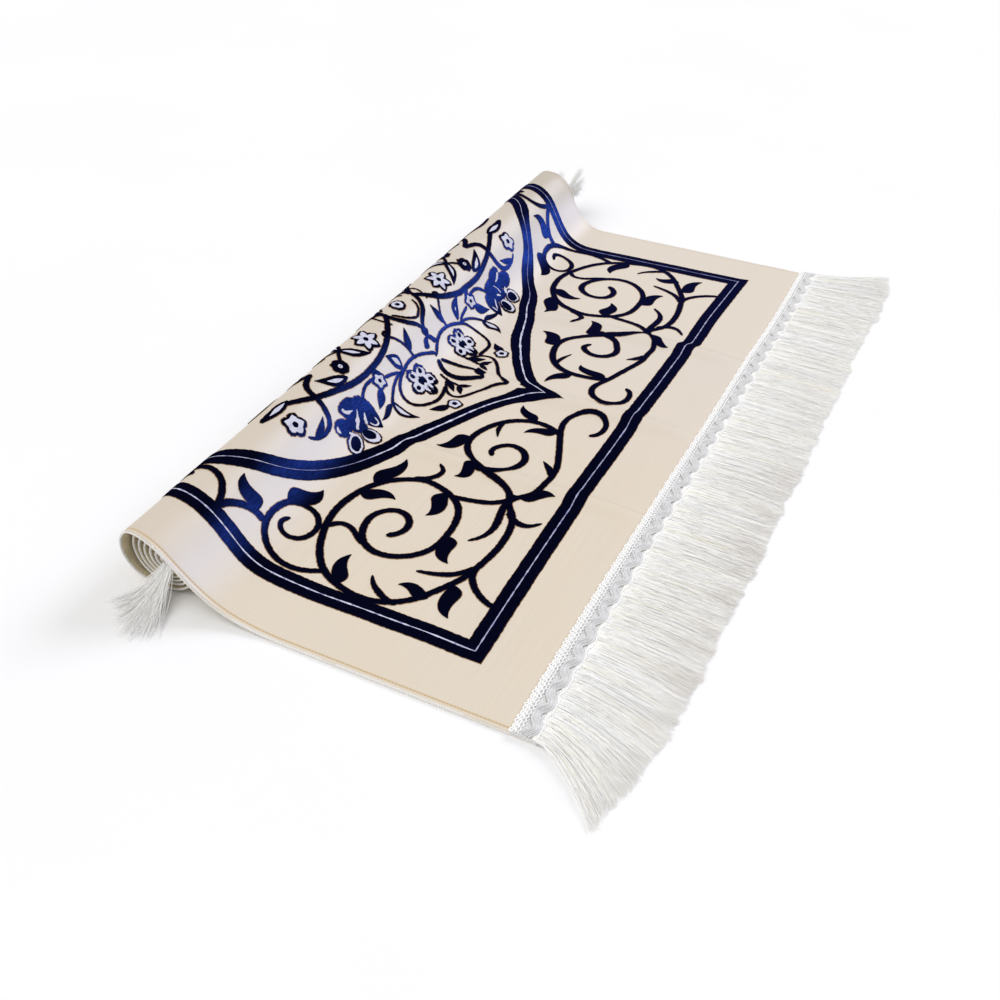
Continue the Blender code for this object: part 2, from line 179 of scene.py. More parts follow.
class SheetForm:
    """The sheet's middle surface, found from places on the flat cloth in metres: across it
    from its middle line, and along it from the fringe tape's inner edge."""

    def __init__(self):
        rows = [((x, SOLID_T / 2), (x, SOLID_T / 2), 0.0, share) for x, share in FLAT_ROWS]
        for share in np.arange(SLOPE_ROWS + 1) / SLOPE_ROWS:
            rows.append((slope_point("near", share), slope_point("far", share), 0.0,
                         1.0 - smooth(share * RIDGE_FADE)))
        self.first_turn = len(rows) - 1
        count = round(ROLL_TURNS * ROWS_PER_TURN)
        for turns in ROLL_TURNS * np.arange(1, count + 1) / count:
            rows.append((turn_point("near", turns), turn_point("far", turns), slip_at(turns), 0.0))
        self.near, self.far, self.slip, self.rise = (np.array(part) for part in zip(*rows))
        self.numbers = np.arange(len(rows), dtype=float)
        self.along = []
        for side in (self.near, self.far):
            steps = np.linalg.norm(np.diff(side, axis=0), axis=1)
            self.along.append(np.concatenate(([0.0], np.cumsum(steps))) - TAPE_LAP)
        self.length = (self.along[0][-1] + self.along[1][-1]) / 2 + TAPE_LAP

    def row_at(self, across, along):
        """The row, with its fraction, that a place on the flat cloth lies in."""
        low = np.zeros(across.shape)
        high = np.full(across.shape, self.numbers[-1])
        for _ in range(HALVINGS):
            middle = (low + high) / 2
            short = self.along_at(across, middle) < along
            low = np.where(short, middle, low)
            high = np.where(short, high, middle)
        return (low + high) / 2

    def along_at(self, across, row):
        """How far along the flat cloth a place in a row lies."""
        share = across / RUG_WIDTH + 0.5
        return (np.interp(row, self.numbers, self.along[0]) * (1.0 - share)
                + np.interp(row, self.numbers, self.along[1]) * share)

    def on_row(self, across, row):
        """Points of the middle surface, in the part's frame."""
        share = across / RUG_WIDTH + 0.5
        near_x, near_z, far_x, far_z, slip, rise = (
            np.interp(row, self.numbers, values)
            for values in (*self.near.T, *self.far.T, self.slip, self.rise))
        x = near_x + (far_x - near_x) * share - ORIGIN_X
        z = near_z + (far_z - near_z) * share + rise * ridge_height(across)
        return np.stack((x, across + slip, z), -1)

    def outward(self, across, row):
        """The direction away from the satin side: up on the flat sheet, outwards on the roll."""
        ahead = self.on_row(across, np.minimum(row + 0.5, self.numbers[-1]))
        behind = self.on_row(across, np.maximum(row - 0.5, 0.0))
        side = self.on_row(across + 0.0004, row) - self.on_row(across - 0.0004, row)
        out = np.cross(side, ahead - behind)
        return out / np.maximum(np.linalg.norm(out, axis=-1, keepdims=True), 1e-12)

    def lay(self, across, along, lift):
        """Points that stand off the middle surface by lift, from places on the flat cloth."""
        row = self.row_at(across, along)
        lift = lift + ripple(across, along)
        return self.on_row(across, row) + self.outward(across, row) * lift[..., None]


FORM = SheetForm()


# --- sizes and colours that a user would change -----------------------------------------
def colour_of(name, description, value):
    return bpy.props.FloatVectorProperty(name=name, description=description, default=value,
                                         subtype="COLOR", size=3, min=0.0, max=1.0)


def length_of(name, description, value):
    return bpy.props.FloatProperty(name=name, description=description, default=value,
                                   min=0.0, unit="LENGTH", subtype="DISTANCE", precision=5)


def count_of(name, description, value):
    return bpy.props.IntProperty(name=name, description=description, default=value, min=1)


class RugSizes(bpy.types.PropertyGroup):
    """Sizes of the rug's pieces."""
    sheet_thickness: length_of("Sheet thickness", "Thickness of the satin with its backing",
                               0.0015)
    pile_height: length_of("Pile height", "How far the pile stands off the satin", 0.00065)
    binding_width: length_of("Binding width", "Width of the thread binding on both sides", 0.0024)
    pile_edge: length_of("Pile edge", "How ragged the edges of the pile are", 0.00032)
    strand_thickness: length_of("Strand thickness", "Diameter of a fringe strand", 0.00046)
    strands_per_layer: count_of("Strands", "Strands in each layer of the open end's fringe", 2300)
    tuft_strands: count_of("Tuft strands", "Strands that hang out of each end of the roll", 320)
    braid_thread: length_of("Braid thread", "Diameter of a thread of the braid", 0.00080)


class RugColours(bpy.types.PropertyGroup):
    """Colours of the rug's yarns."""
    satin: colour_of("Satin", "The satin ground", (0.725, 0.640, 0.525))
    warm_satin: colour_of("Warm satin", "The satin's warmer patches", (0.715, 0.610, 0.470))
    far_satin: colour_of("Far satin", "The satin towards the far side", (0.695, 0.630, 0.560))
    # painted sheen: the lilac that the satin is painted on the slope, where light glances off it
    satin_sheen: colour_of("Cool satin", "The satin on the slope", (0.725, 0.695, 0.715))
    # painted shade: the darker colour painted in thin lines along the old folds
    crease_shade: colour_of("Old fold", "The faint lines of old folds", (0.640, 0.520, 0.370))
    stitch: colour_of("Stitching", "The stitch line beside the binding", (0.56, 0.40, 0.20))
    backing: colour_of("Backing", "The underside of the sheet", (0.62, 0.53, 0.35))
    pile: colour_of("Pile", "The dark raised pile", (0.0016, 0.0019, 0.0085))
    navy_pile: colour_of("Navy pile", "The pile on the far side, a little bluer",
                         (0.0034, 0.0042, 0.026))
    # painted sheen: the blue that the pile is painted on the slope, where light glances off it;
    # much dimmed, also the blue of its worn streaks
    sheen_and_wear_blue: colour_of("Open nap", "The pile where its nap lies open, on the slope",
                        (0.022, 0.060, 0.40))
    pile_root: colour_of("Pile root", "The warm root along the pile's edges", (0.40, 0.25, 0.125))
    thread: colour_of("Pale thread", "Fine lines and petals in the ornament", (0.64, 0.64, 0.80))
    worn_thread: colour_of("Worn thread", "The same lines where the dark pile shows through",
                           (0.16, 0.17, 0.40))
    petal: colour_of("Petals", "The white of the petals", (0.63, 0.63, 0.745))
    yarn: colour_of("Fringe yarn", "Strands and tape of the fringes", (0.935, 0.935, 0.925))
    cream_yarn: colour_of("Cream yarn", "The warmer strands among them", (0.93, 0.89, 0.76))
    silver: colour_of("Silver braid", "The wavy braid", (0.76, 0.76, 0.755))
    binding: colour_of("Binding", "Thread that binds the side edges", (0.97, 0.94, 0.88))


# --- materials --------------------------------------------------------------------------
class Signal:
    """An output socket of a finish; arithmetic on it adds the Math nodes that work it out."""

    def __init__(self, finish, socket):
        self.finish = finish
        self.socket = socket

    def maths(self, operation, *values):
        return self.finish.node("ShaderNodeMath", {"operation": operation}, *values)

    def __add__(self, other):
        return self.maths("ADD", self, other)

    __radd__ = __add__

    def __sub__(self, other):
        return self.maths("SUBTRACT", self, other)

    def __rsub__(self, other):
        return self.maths("SUBTRACT", other, self)

    def __mul__(self, other):
        return self.maths("MULTIPLY", self, other)

    __rmul__ = __mul__

    def __truediv__(self, other):
        return self.maths("DIVIDE", self, other)

    def __rtruediv__(self, other):
        return self.maths("DIVIDE", other, self)

    def __abs__(self):
        return self.maths("ABSOLUTE", self)

    def wave(self, length):
        return self.maths("SINE", self * (2 * math.pi / length))

    def ramp(self, low, high):
        """0 below low, 1 above high, and smooth between them."""
        return self.finish.node("ShaderNodeMapRange", {"interpolation_type": "SMOOTHSTEP"},
                                Value=self, **{"From Min": low, "From Max": high})


class Finish:
    """A material under construction."""

    def __init__(self, name, colour, roughness):
        self.material = bpy.data.materials.new(name)
        self.material.use_nodes = True
        self.nodes = self.material.node_tree.nodes
        self.links = self.material.node_tree.links
        self.shader = self.nodes["Principled BSDF"]
        self.set(Base_Color=(*colour, 1.0), Roughness=roughness)

    def node(self, kind, settings, *values, output=0, **named):
        """One node: its settings first, then its inputs by order or by name."""
        made = self.nodes.new(kind)
        for key, value in settings.items():
            setattr(made, key, value)
        for place, value in [*enumerate(values), *named.items()]:
            self.feed(made.inputs[place], value)
        return Signal(self, made.outputs[output])

    def feed(self, socket, value):
        if isinstance(value, Signal):
            self.links.new(value.socket, socket)
        else:
            socket.default_value = value

    def set(self, **values):
        """Feeds the shader's inputs, whose names have _ for their spaces here."""
        for name, value in values.items():
            self.feed(self.shader.inputs[name.replace("_", " ")], value)

    def place(self):
        """The place on the flat cloth, in metres, that each point of the piece came from."""
        return self.node("ShaderNodeAttribute", {"attribute_name": "flat_place"}, output="Vector")

    def tone(self):
        return self.node("ShaderNodeAttribute", {"attribute_name": "tone"}, output="Fac")

    def spot(self):
        """The point's place in the piece's own frame."""
        return self.node("ShaderNodeTexCoord", {}, output="Object")

    def parts(self, vector):
        split = self.node("ShaderNodeSeparateXYZ", {}, vector).socket.node
        return [Signal(self, socket) for socket in split.outputs]

    def noise(self, vector, scale=1.0, detail=2.0, roughness=0.5):
        """Noise of one scale, or of three, which make streaks."""
        if isinstance(scale, tuple):
            vector = self.node("ShaderNodeVectorMath", {"operation": "MULTIPLY"}, vector, scale)
            scale = 1.0
        return self.node("ShaderNodeTexNoise", {}, Vector=vector, Scale=scale, Detail=detail,
                         Roughness=roughness)

    def mix(self, share, first, second):
        """A colour between two colours."""
        first, second = (colour if isinstance(colour, Signal) else (*colour, 1.0)
                         for colour in (first, second))
        made = self.node("ShaderNodeMix", {"data_type": "RGBA"}, share, output=2)
        self.feed(made.socket.node.inputs[6], first)
        self.feed(made.socket.node.inputs[7], second)
        return made

    def bump(self, height, depth, strength=1.0):
        self.set(Normal=self.node("ShaderNodeBump", {}, Strength=strength, Distance=depth,
                                  Height=height))


def shade(colour, factor):
    return tuple(min(part * factor, 1.0) for part in colour)


# painted shade: thin darker lines are painted along these old folds
CREASES = ((-0.113, 0.75), (0.008, 0.45), (0.1445, 0.95))     # where old folds run, and how clear


def satin_finish(colours):
    """Cream satin: fine weft lines across the rug, uneven threads, painted shade along old folds,
    a painted lilac sheen on the slope, painted shade over the roll's top, panels beyond two folds
    painted a shade lighter, and the side stitching."""
    finish = Finish("cream_satin", colours.satin, 0.40)
    place = finish.place()
    across, along, _ = finish.parts(place)
    slub = finish.noise(place, (9.0, 900.0, 1.0), detail=3.0)
    cloud = finish.noise(place, (9.0, 14.0, 1.0), detail=3.0, roughness=0.6)
    fine = finish.noise(place, (260.0, 2600.0, 1.0), detail=1.0)
    ground = finish.mix(slub.ramp(0.35, 0.70), colours.satin, shade(colours.satin, 0.95))
    ground = finish.mix(cloud.ramp(0.30, 0.75) * 0.45, ground, colours.warm_satin)
    ground = finish.mix(across.ramp(-0.15, 0.20) * 0.85, ground, colours.far_satin)
    # painted light: beyond the folds near 0.008 and 0.1445 the satin is painted a shade lighter,
    # in two steps
    painted_panel_light = across.ramp(0.142, 0.147) * 0.30 + across.ramp(0.004, 0.012) * 0.20
    ground = finish.mix(painted_panel_light, ground, shade(colours.satin, 1.03))
    # painted sheen: on the slope the satin is mixed towards a lilac sheen, painted lighter still
    # towards the far side
    slope = painted_sheen_zone(across, along - 0.003, 1.3) * (0.84 + 0.45 * across + 0.4 * (cloud - 0.5))
    painted_sheen_tint = finish.mix(across.ramp(0.20, 0.34), colours.satin_sheen,
                      shade(colours.satin_sheen, 1.13))
    ground = finish.mix(slope, ground, painted_sheen_tint)
    # painted shade: the satin over the roll's top is darkened, more so towards the far side
    painted_roll_shade = along.ramp(0.262, 0.297) * (0.42 + 0.42 * across.ramp(0.15, 0.34))
    ground = finish.mix(painted_roll_shade, ground, shade(colours.satin, 0.72))
    wander = across + 0.0022 * (cloud - 0.5)
    # painted shade along the old folds, which the bump also sinks a little
    crease_shade = 0.0
    for where, clear in CREASES:
        crease_shade = crease_shade + abs(wander - where).ramp(0.0016, 0.0002) * clear
    crease_shade = crease_shade * along.ramp(0.150, 0.020)
    ground = finish.mix(crease_shade * 0.55, ground, colours.crease_shade)
    seam = abs(abs(across) - (HALF_WIDTH - 0.0040)).ramp(0.0011, 0.0004)
    tick = along.wave(0.0026).ramp(-0.75, -0.2)
    ground = finish.mix(seam * (0.55 + 0.40 * tick) * (0.62 - across), ground, colours.stitch)
    finish.set(Base_Color=ground, Roughness=0.36 + 0.10 * fine, Specular_IOR_Level=0.5)
    finish.bump(0.5 * fine + 0.7 * slub - 0.8 * seam - 0.5 * crease_shade, 0.00022, 0.55)
    return finish.material


def backing_finish(colours):
    """The plain woven underside: a small grid of threads."""
    finish = Finish("woven_backing", colours.backing, 0.85)
    place = finish.place()
    across, along, _ = finish.parts(place)
    warp, weft = across.wave(0.0011), along.wave(0.0013)
    cloud = finish.noise(place, (60.0, 60.0, 1.0), detail=4.0, roughness=0.6)
    finish.set(Base_Color=finish.mix(cloud.ramp(0.3, 0.7), shade(colours.backing, 0.86),
                                     shade(colours.backing, 1.12)), Specular_IOR_Level=0.25)
    finish.bump(warp * weft + cloud, 0.00018, 0.7)
    return finish.material


def painted_sheen_zone(across, along, wide=1.0):
    """Where the sheet climbs to the roll: there the pile and the satin are painted with a sheen.
    """
    from_middle = (along - (0.2600 + 0.024 * across)) / wide
    beyond = from_middle + 0.008 * across.ramp(-0.16, -0.32)
    return from_middle.ramp(-0.031, -0.002) * beyond.ramp(0.030, 0.002)


def pile_finish(colours, name="dark_pile", opened=1.0):
    """Short dark pile: fibre ends, streaks along the weft, a painted blue sheen on the slope, and
    the warm root that shows along its edges."""
    finish = Finish(name, colours.pile, 0.5)
    place = finish.place()
    across, along, _ = finish.parts(place)
    fibre = finish.noise(place, (1900.0, 2300.0, 1500.0), detail=2.0)
    streak = finish.noise(place, (150.0, 1100.0, 1.0), detail=3.0, roughness=0.6)
    patch = finish.noise(place, (34.0, 44.0, 1.0), detail=4.0, roughness=0.6)
    # painted sheen: where the slope catches light the pile is painted blue; opened scales how much
    lustre = (opened * painted_sheen_zone(across, along) * (0.80 + 1.45 * across)
           * (0.62 + 0.60 * patch.ramp(0.28, 0.72)))
    royal = finish.mix(streak.ramp(0.34, 0.66), shade(colours.sheen_and_wear_blue, 0.52),
                       shade(colours.sheen_and_wear_blue, 1.30))
    base = finish.mix(across.ramp(-0.15, 0.33), colours.pile, colours.navy_pile)
    worn = finish.mix(streak.ramp(0.50, 0.80) * 0.5, base, shade(colours.sheen_and_wear_blue, 0.11))
    body = finish.mix(lustre, worn, royal)
    rooted = finish.mix(finish.tone().ramp(0.10, 0.60), colours.pile_root, body)
    finish.set(Base_Color=rooted, Roughness=0.62 + 0.20 * streak, Specular_IOR_Level=0.0)
    finish.bump(fibre + 0.8 * streak, 0.00035, 0.8)
    return finish.material


def thread_finish(colours, name, colour, worn_out):
    """Pale embroidery thread of the fine lines and the petals, worn in patches."""
    finish = Finish(name, colour, 0.45)
    place = finish.place()
    strand = finish.noise(place, (900.0, 1500.0, 1.0), detail=2.0)
    patch = finish.noise(place, (150.0, 210.0, 1.0), detail=3.0)
    worn = finish.mix(patch.ramp(0.50, 0.66) * worn_out, colour, colours.worn_thread)
    worn = finish.mix(finish.tone().ramp(1.0, 0.0), worn, colours.worn_thread)
    finish.set(Base_Color=finish.mix(strand.ramp(0.35, 0.80) * 0.30, worn, shade(colour, 0.62)),
               Specular_IOR_Level=0.4)
    finish.bump(strand, 0.00025, 0.7)
    return finish.material


# painted shade: the grey that the fringe's tips are painted
TIP_SHADE = (0.76, 0.735, 0.70)
YARN_PAINTED_GLOW = 0.065           # painted glow: emission that lifts the shade in the yarn's own hollows


def yarn_finish(name, colours, colour, glossy=0.35):
    """Off-white strands, each of its own tone, with cream ones among them, painted a little greyer
    in shade towards the tips, and with a faint painted glow."""
    finish = Finish(name, colour, glossy)
    tone = finish.tone()
    spot = finish.spot()
    grain = finish.noise(spot, scale=900.0)
    drift = finish.noise(spot, (14.0, 90.0, 1.0), detail=3.0)
    along, across, _ = finish.parts(spot)
    own = finish.mix(tone.ramp(0.60, 0.95) * 0.9, colour, colours.cream_yarn)
    own = finish.mix(tone.ramp(0.34, 0.0) * 0.5, own, shade(colour, 0.72))
    # painted shade: the strands turn greyer towards their tips, more so on the near side
    tips = (along.ramp(0.150, 0.198) * (0.30 + 0.60 * across.ramp(0.20, -0.15))
            * drift.ramp(0.30, 0.62))
    own = finish.mix(tips, own, TIP_SHADE)
    finish.set(Base_Color=finish.mix(grain.ramp(0.35, 0.8) * 0.12, own, shade(colour, 0.90)),
               Roughness=glossy + 0.12 * grain, Specular_IOR_Level=0.4,
               Emission_Color=(1.0, 0.995, 0.98, 1.0), Emission_Strength=YARN_PAINTED_GLOW)
    return finish.material


def tape_finish(colours):
    """The white woven tape: soft knots side by side."""
    finish = Finish("woven_tape", colours.yarn, 0.6)
    spot = finish.spot()
    across, along, _ = finish.parts(spot)
    fuzz = finish.noise(spot, scale=1100.0, detail=3.0)
    weave = (across + 0.0010 * fuzz).wave(0.0024) * (along + 0.0012 * fuzz).wave(0.0037)
    finish.set(Base_Color=finish.mix(weave.ramp(-1.0, 0.4), shade(colours.yarn, 0.80),
                                     shade(colours.yarn, 0.98)))
    finish.bump(weave + 1.2 * fuzz, 0.0007, 0.8)
    return finish.material


def silver_finish(colours):
    """Silver-grey threads of the braid, with a soft metallic look; one half of each zigzag is
    painted in shade.
    """
    finish = Finish("silver_thread", colours.silver, 0.42)
    tone = finish.tone()
    spot = finish.spot()
    grain = finish.noise(spot, scale=1400.0, detail=2.0)
    _, across, _ = finish.parts(spot)
    half_run = HALF_WIDTH - BRAID_INSET
    # painted shade: one half of each zigzag is painted darker
    shaded_half = (across + (half_run + (0.25 - BRAID_LAG) * BRAID_WAVE)).wave(BRAID_WAVE)
    low = finish.mix(shaded_half.ramp(-0.3, 0.8), shade(colours.silver, 0.94),
                     shade(colours.silver, 0.74))
    own = finish.mix(tone.ramp(0.25, 0.75), low, shade(colours.silver, 1.16))
    finish.set(Base_Color=finish.mix(grain.ramp(0.35, 0.75) * 0.25, own,
                                     shade(colours.silver, 0.7)),
               Metallic=0.08, Roughness=0.40 + 0.2 * grain)
    finish.bump(grain, 0.0002, 0.6)
    return finish.material


def binding_finish(colours):
    """Overlock thread round the side edge: slanting stitches side by side."""
    finish = Finish("edge_binding", colours.binding, 0.55)
    place = finish.place()
    across, along, _ = finish.parts(place)
    stitch = (along + 0.5 * abs(across)).wave(0.0011)
    fuzz = finish.noise(place, (1200.0, 1200.0, 1.0), detail=2.0)
    finish.set(Base_Color=finish.mix(stitch.ramp(-1.0, 0.3), shade(colours.binding, 0.80),
                                     colours.binding))
    finish.bump(stitch + 0.5 * fuzz, 0.0003, 0.7)
    return finish.material


def floor_finish():
    """Plain pale matt ground, hardly uneven."""
    finish = Finish("studio_floor", FLOOR_COLOUR, 0.85)
    grain = finish.noise(finish.spot(), scale=3.0, detail=4.0)
    finish.set(Base_Color=finish.mix(grain.ramp(0.3, 0.8), FLOOR_COLOUR, (0.92, 0.92, 0.92)),
               Specular_IOR_Level=0.1)
    return finish.material


# --- pieces -----------------------------------------------------------------------------
def finish_piece(name, mesh, slot, *materials, flat=None, tone=None, soft=True):
    """Links a piece, gives it its materials, its places on the flat cloth and its tones."""
    piece = bpy.data.objects.new(name, mesh)
    bpy.context.scene.collection.objects.link(piece)
    for material in materials:
        mesh.materials.append(material)
    if flat is not None:
        mesh.attributes.new("flat_place", "FLOAT_VECTOR", "POINT").data.foreach_set(
            "vector", flat.astype(np.float32).ravel())
    if tone is not None:
        mesh.attributes.new("tone", "FLOAT", "POINT").data.foreach_set(
            "value", tone.astype(np.float32))
    mesh.polygons.foreach_set("use_smooth", [soft] * len(mesh.polygons))
    mesh.update()
    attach(piece, "root")
    return piece


def thicken(piece, thickness, even=False, back=0):
    """Gives a sheet its thickness, half to each side; back is the other side's material."""
    thick = piece.modifiers.new("thickness", "SOLIDIFY")
    thick.thickness = thickness
    thick.offset = 0.0
    thick.use_even_offset = even
    thick.material_offset = back
    thick.material_offset_rim = back


def points_of(mesh):
    spots = np.empty(len(mesh.vertices) * 3)
    mesh.vertices.foreach_get("co", spots)
    return spots.reshape(-1, 3)


def put_points(mesh, spots):
    mesh.vertices.foreach_set("co", np.ascontiguousarray(spots, dtype=np.float32).ravel())
    mesh.update()


def mesh_of(shape, name):
    """Turns a finished shape into a mesh, with its tone layer as an attribute, and frees it."""
    mesh = bpy.data.meshes.new(name)
    shape.to_mesh(mesh)
    shape.free()
    return mesh


def grid_on(shape, places_x, places_y):
    """A grid of faces made by the grid operator, and the number of each vertex in both ways."""
    verts = bmesh.ops.create_grid(shape, x_segments=places_x - 1, y_segments=places_y - 1,
                                  size=1.0)["verts"]
    return verts, [(round((vert.co.x + 1.0) / 2.0 * (places_x - 1)),
                    round((vert.co.y + 1.0) / 2.0 * (places_y - 1))) for vert in verts]


FLAT_STEPS = (4, 6, 11, 14, 13)                     # rows of faces in each stretch of FLAT_ROWS
OUTER_TURNS = 1.2                                   # turns of the roll with closer rows
HEM_PLACES = (0.6, 1.6, 2.9, 3.6, 4.3, 6.0, 9.0)    # millimetres from the side edge


def sheet_places():
    """Rows along the sheet and places across it, close together where it bends."""
    rows = [0.0]
    for first, steps in enumerate(FLAT_STEPS):
        rows += list(np.linspace(first, first + 1, steps + 1)[1:])
    first, last = FORM.first_turn, int(FORM.numbers[-1])
    outer = first + round(OUTER_TURNS * ROWS_PER_TURN)
    rows += [*np.arange(len(FLAT_STEPS) + 1.5, first, 1.5), *np.arange(first, outer, 1.5),
             *np.arange(outer, last, 2.4), float(last)]
    hem = [HALF_WIDTH - gap * MM for gap in HEM_PLACES]
    across = set(hem) | {-place for place in hem}
    for ridge in RIDGES:
        across |= set(ridge["y"] + ridge["reach"] * np.linspace(-1.0, 1.0, 11))
    body = np.linspace(-hem[-1], hem[-1], 60)
    taken = np.array(sorted(across))
    across |= {place for place in body if np.abs(taken - place).min() > 5.0 * MM}
    return np.array(rows), np.array(sorted(across))


def make_sheet(sizes, colours):
    """The satin sheet with its backing, on the folds and turns of its solid."""
    rows, columns = sheet_places()
    shape = bmesh.new()
    verts, numbers = grid_on(shape, len(columns), len(rows))
    for vert, (column, row) in zip(verts, numbers):
        vert.co = (columns[column], rows[row], 0.0)
    mesh = mesh_of(shape, "satin_sheet")
    across, row, _ = points_of(mesh).T
    along = FORM.along_at(across, row)
    flat = np.stack((across, along, 0 * across), -1)
    groove = np.exp(-((HALF_WIDTH - np.abs(across) - 0.0036) / 0.0009) ** 2) * 0.00022
    laid = (FORM.on_row(across, row)
            + FORM.outward(across, row) * (ripple(across, along) - groove)[:, None])
    laid[:, 2] = np.maximum(laid[:, 2], sizes.sheet_thickness / 2 + 0.00002)
    put_points(mesh, laid)
    if mesh.polygons[0].normal.z < 0.0:
        mesh.flip_normals()
    piece = finish_piece("satin_sheet", mesh, "satin", satin_finish(colours),
                         backing_finish(colours), flat=flat)
    thicken(piece, sizes.sheet_thickness, even=True, back=1)
    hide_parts("rug_cloth")


def make_binding(sizes, colours):
    """The rounded thread binding on both side edges, all the way into the roll."""
    shape = bmesh.new()
    half_width, half_height, faces = sizes.binding_width / 2, 0.00084, 10
    steps = np.arange(0.0, FORM.numbers[-1] + 0.1, 1.5)
    steps = np.concatenate((np.linspace(0.0, 5.0, 60), steps[steps > 5.5]))
    for side in (-1, 1):
        middle = side * (HALF_WIDTH - half_width * 0.8)
        verts, numbers = grid_on(shape, len(steps) + 2, faces + 1)
        for vert, (step, turn) in zip(verts, numbers):
            row = steps[min(max(step - 1, 0), len(steps) - 1)]
            size = 0.0 if step in (0, len(steps) + 1) else 1.0
            angle = 2.0 * math.pi * (turn % faces) / faces
            vert.co = (middle + size * half_width * math.cos(angle), row,
                       size * half_height * math.sin(angle))
        bmesh.ops.remove_doubles(shape, verts=verts, dist=1e-7)
    bmesh.ops.recalc_face_normals(shape, faces=shape.faces)
    mesh = mesh_of(shape, "side_binding")
    across, row, lifts = points_of(mesh).T
    laid = FORM.on_row(across, row) + FORM.outward(across, row) * lifts[:, None]
    laid[:, 2] = np.maximum(laid[:, 2], 0.00003)
    put_points(mesh, laid)
    finish_piece("side_binding", mesh, "satin", binding_finish(colours),
                 flat=np.stack((across, FORM.along_at(across, row), lifts), -1))


# --- the ornament, drawn flat in millimetres: away from the middle line, along the rug ---
AXIS = 2.5                  # the ornament's middle line stands this far from the rug's
STEP = 1.2                  # length of a step along a drawn line
ACROSS = 3.0                # most that a wide band goes without a vertex across it
HALO = 0.70                 # width of the thin warm edge where the pile's root shows


def curve_through(joints, step=STEP):
    """Points along the smooth curve through these joints."""
    joints = np.array(joints, float)
    spans = np.diff(joints, axis=0)
    gaps = np.linalg.norm(spans, axis=1)
    knots = np.concatenate(([0.0], np.cumsum(gaps)))
    count = len(joints)
    system, target = np.eye(count), np.zeros((count, 2))
    for place in range(1, count - 1):
        before, after = gaps[place - 1:place + 1]
        system[place, place - 1:place + 2] = before, 2 * (before + after), after
        target[place] = 6 * (spans[place] / after - spans[place - 1] / before)
    bend = np.linalg.solve(system, target)
    where = np.linspace(0.0, knots[-1], max(round(knots[-1] / step) + 1, 5))
    cell = np.clip(np.searchsorted(knots, where, side="right") - 1, 0, count - 2)
    gap = gaps[cell][:, None]
    left, right = (where - knots[cell])[:, None], (knots[cell + 1] - where)[:, None]
    return ((bend[cell] * right ** 3 + bend[cell + 1] * left ** 3) / (6 * gap)
            + (joints[cell] / gap - bend[cell] * gap / 6) * right
            + (joints[cell + 1] / gap - bend[cell + 1] * gap / 6) * left)


def sideways(points):
    """The unit vector to the left of a line at each of its points."""
    ahead = np.gradient(points, axis=0)
    ahead /= np.maximum(np.linalg.norm(ahead, axis=1, keepdims=True), 1e-9)
    return np.stack((-ahead[:, 1], ahead[:, 0]), -1)


# The weave isn't quite the same on both sides: where on the far side it lies off its mirror
# image, and by how much (away, along), in millimetres.
DRIFT = (
    ((15, 85), (11, 1)), ((6, 80), (12, 0)), ((46, 104), (7, -3)), ((40, 124), (9, 5)),
    ((86, 162), (5, 0)), ((78, 126), (8, -2)), ((120, 134), (4, -3)), ((145, 98), (5, -2)),
    ((210, 121), (-4, 2)), ((275, 85), (-5, 3)), ((300, 60), (-2, 0)), ((300, 150), (-3, 0)),
    ((248, 154), (-2, 2)), ((212, 206), (0, 9)), ((253, 228), (-10, 9)), ((253, 242), (-6, 11)),
    ((257, 273), (2, 12)), ((288, 268), (2, 15)), ((300, 220), (-5, 5)), ((300, 300), (3, 16)),
    ((41, 235), (-15, 0)), ((76, 237), (-16, 0)), ((64, 218), (-9, 2)), ((52, 214.5), (-5, 3)),
    ((62, 254), (-9, -1)), ((33, 260), (0, 1)), ((29, 259), (2, 2)), ((19, 284), (9, -1)),
    ((45, 288), (4, 0)), ((55, 262), (-1, 1)), ((60, 276), (9, 0)), ((88, 241), (-9, 0)),
    ((82, 214), (0, 6)), ((47, 199), (5, 3)), ((134, 247), (-4, 1)), ((91, 273), (3, 3)),
    ((30, 216), (3, 1)), ((60, 295), (1, 2)), ((187, 276), (1, 6)), ((156, 164), (3, 0)),
    ((213, 226), (-7, 8)), ((148, 215), (0, 5)), ((198, 239), (0, 13)), ((240, 276), (0, 19)),
    ((100, 202), (0, 2)), ((0, 140), (1, 0)), ((0, 240), (0, 0)), ((0, 300), (0, 0)),
    ((20, 194), (3, 0)), ((0, 50), (0, 0)), ((150, 55), (0, 0)), ((269, 400), (0, 10)),
    ((100, 400), (0, 6)),
)
DRIFT_REACH = 10.5          # within this distance of such a place its move counts fully


def drifted(spots):
    """Spots of the far side, moved to where its weave lies."""
    places, moves = np.array(DRIFT, float).transpose(1, 0, 2)
    gaps = np.linalg.norm(spots[:, None] - places[None], axis=2)
    weights = 1.0 / (gaps ** 2 + DRIFT_REACH ** 2) ** 1.6
    moved = weights @ moves / weights.sum(axis=1, keepdims=True)
    moved[:, 0] *= smooth(spots[:, 0] / 5.0)
    return spots + moved


def near_move(spots):
    """How far the near side's weave lies off the drawing."""
    away = smooth(spots[:, 0] / 20.0) + 0.8 * smooth((spots[:, 0] - 130.0) / 80.0)
    return np.stack((away, np.full_like(away, 0.8)), -1)


HELD = "held"               # an anchor for what is drawn where it lies, on its own side
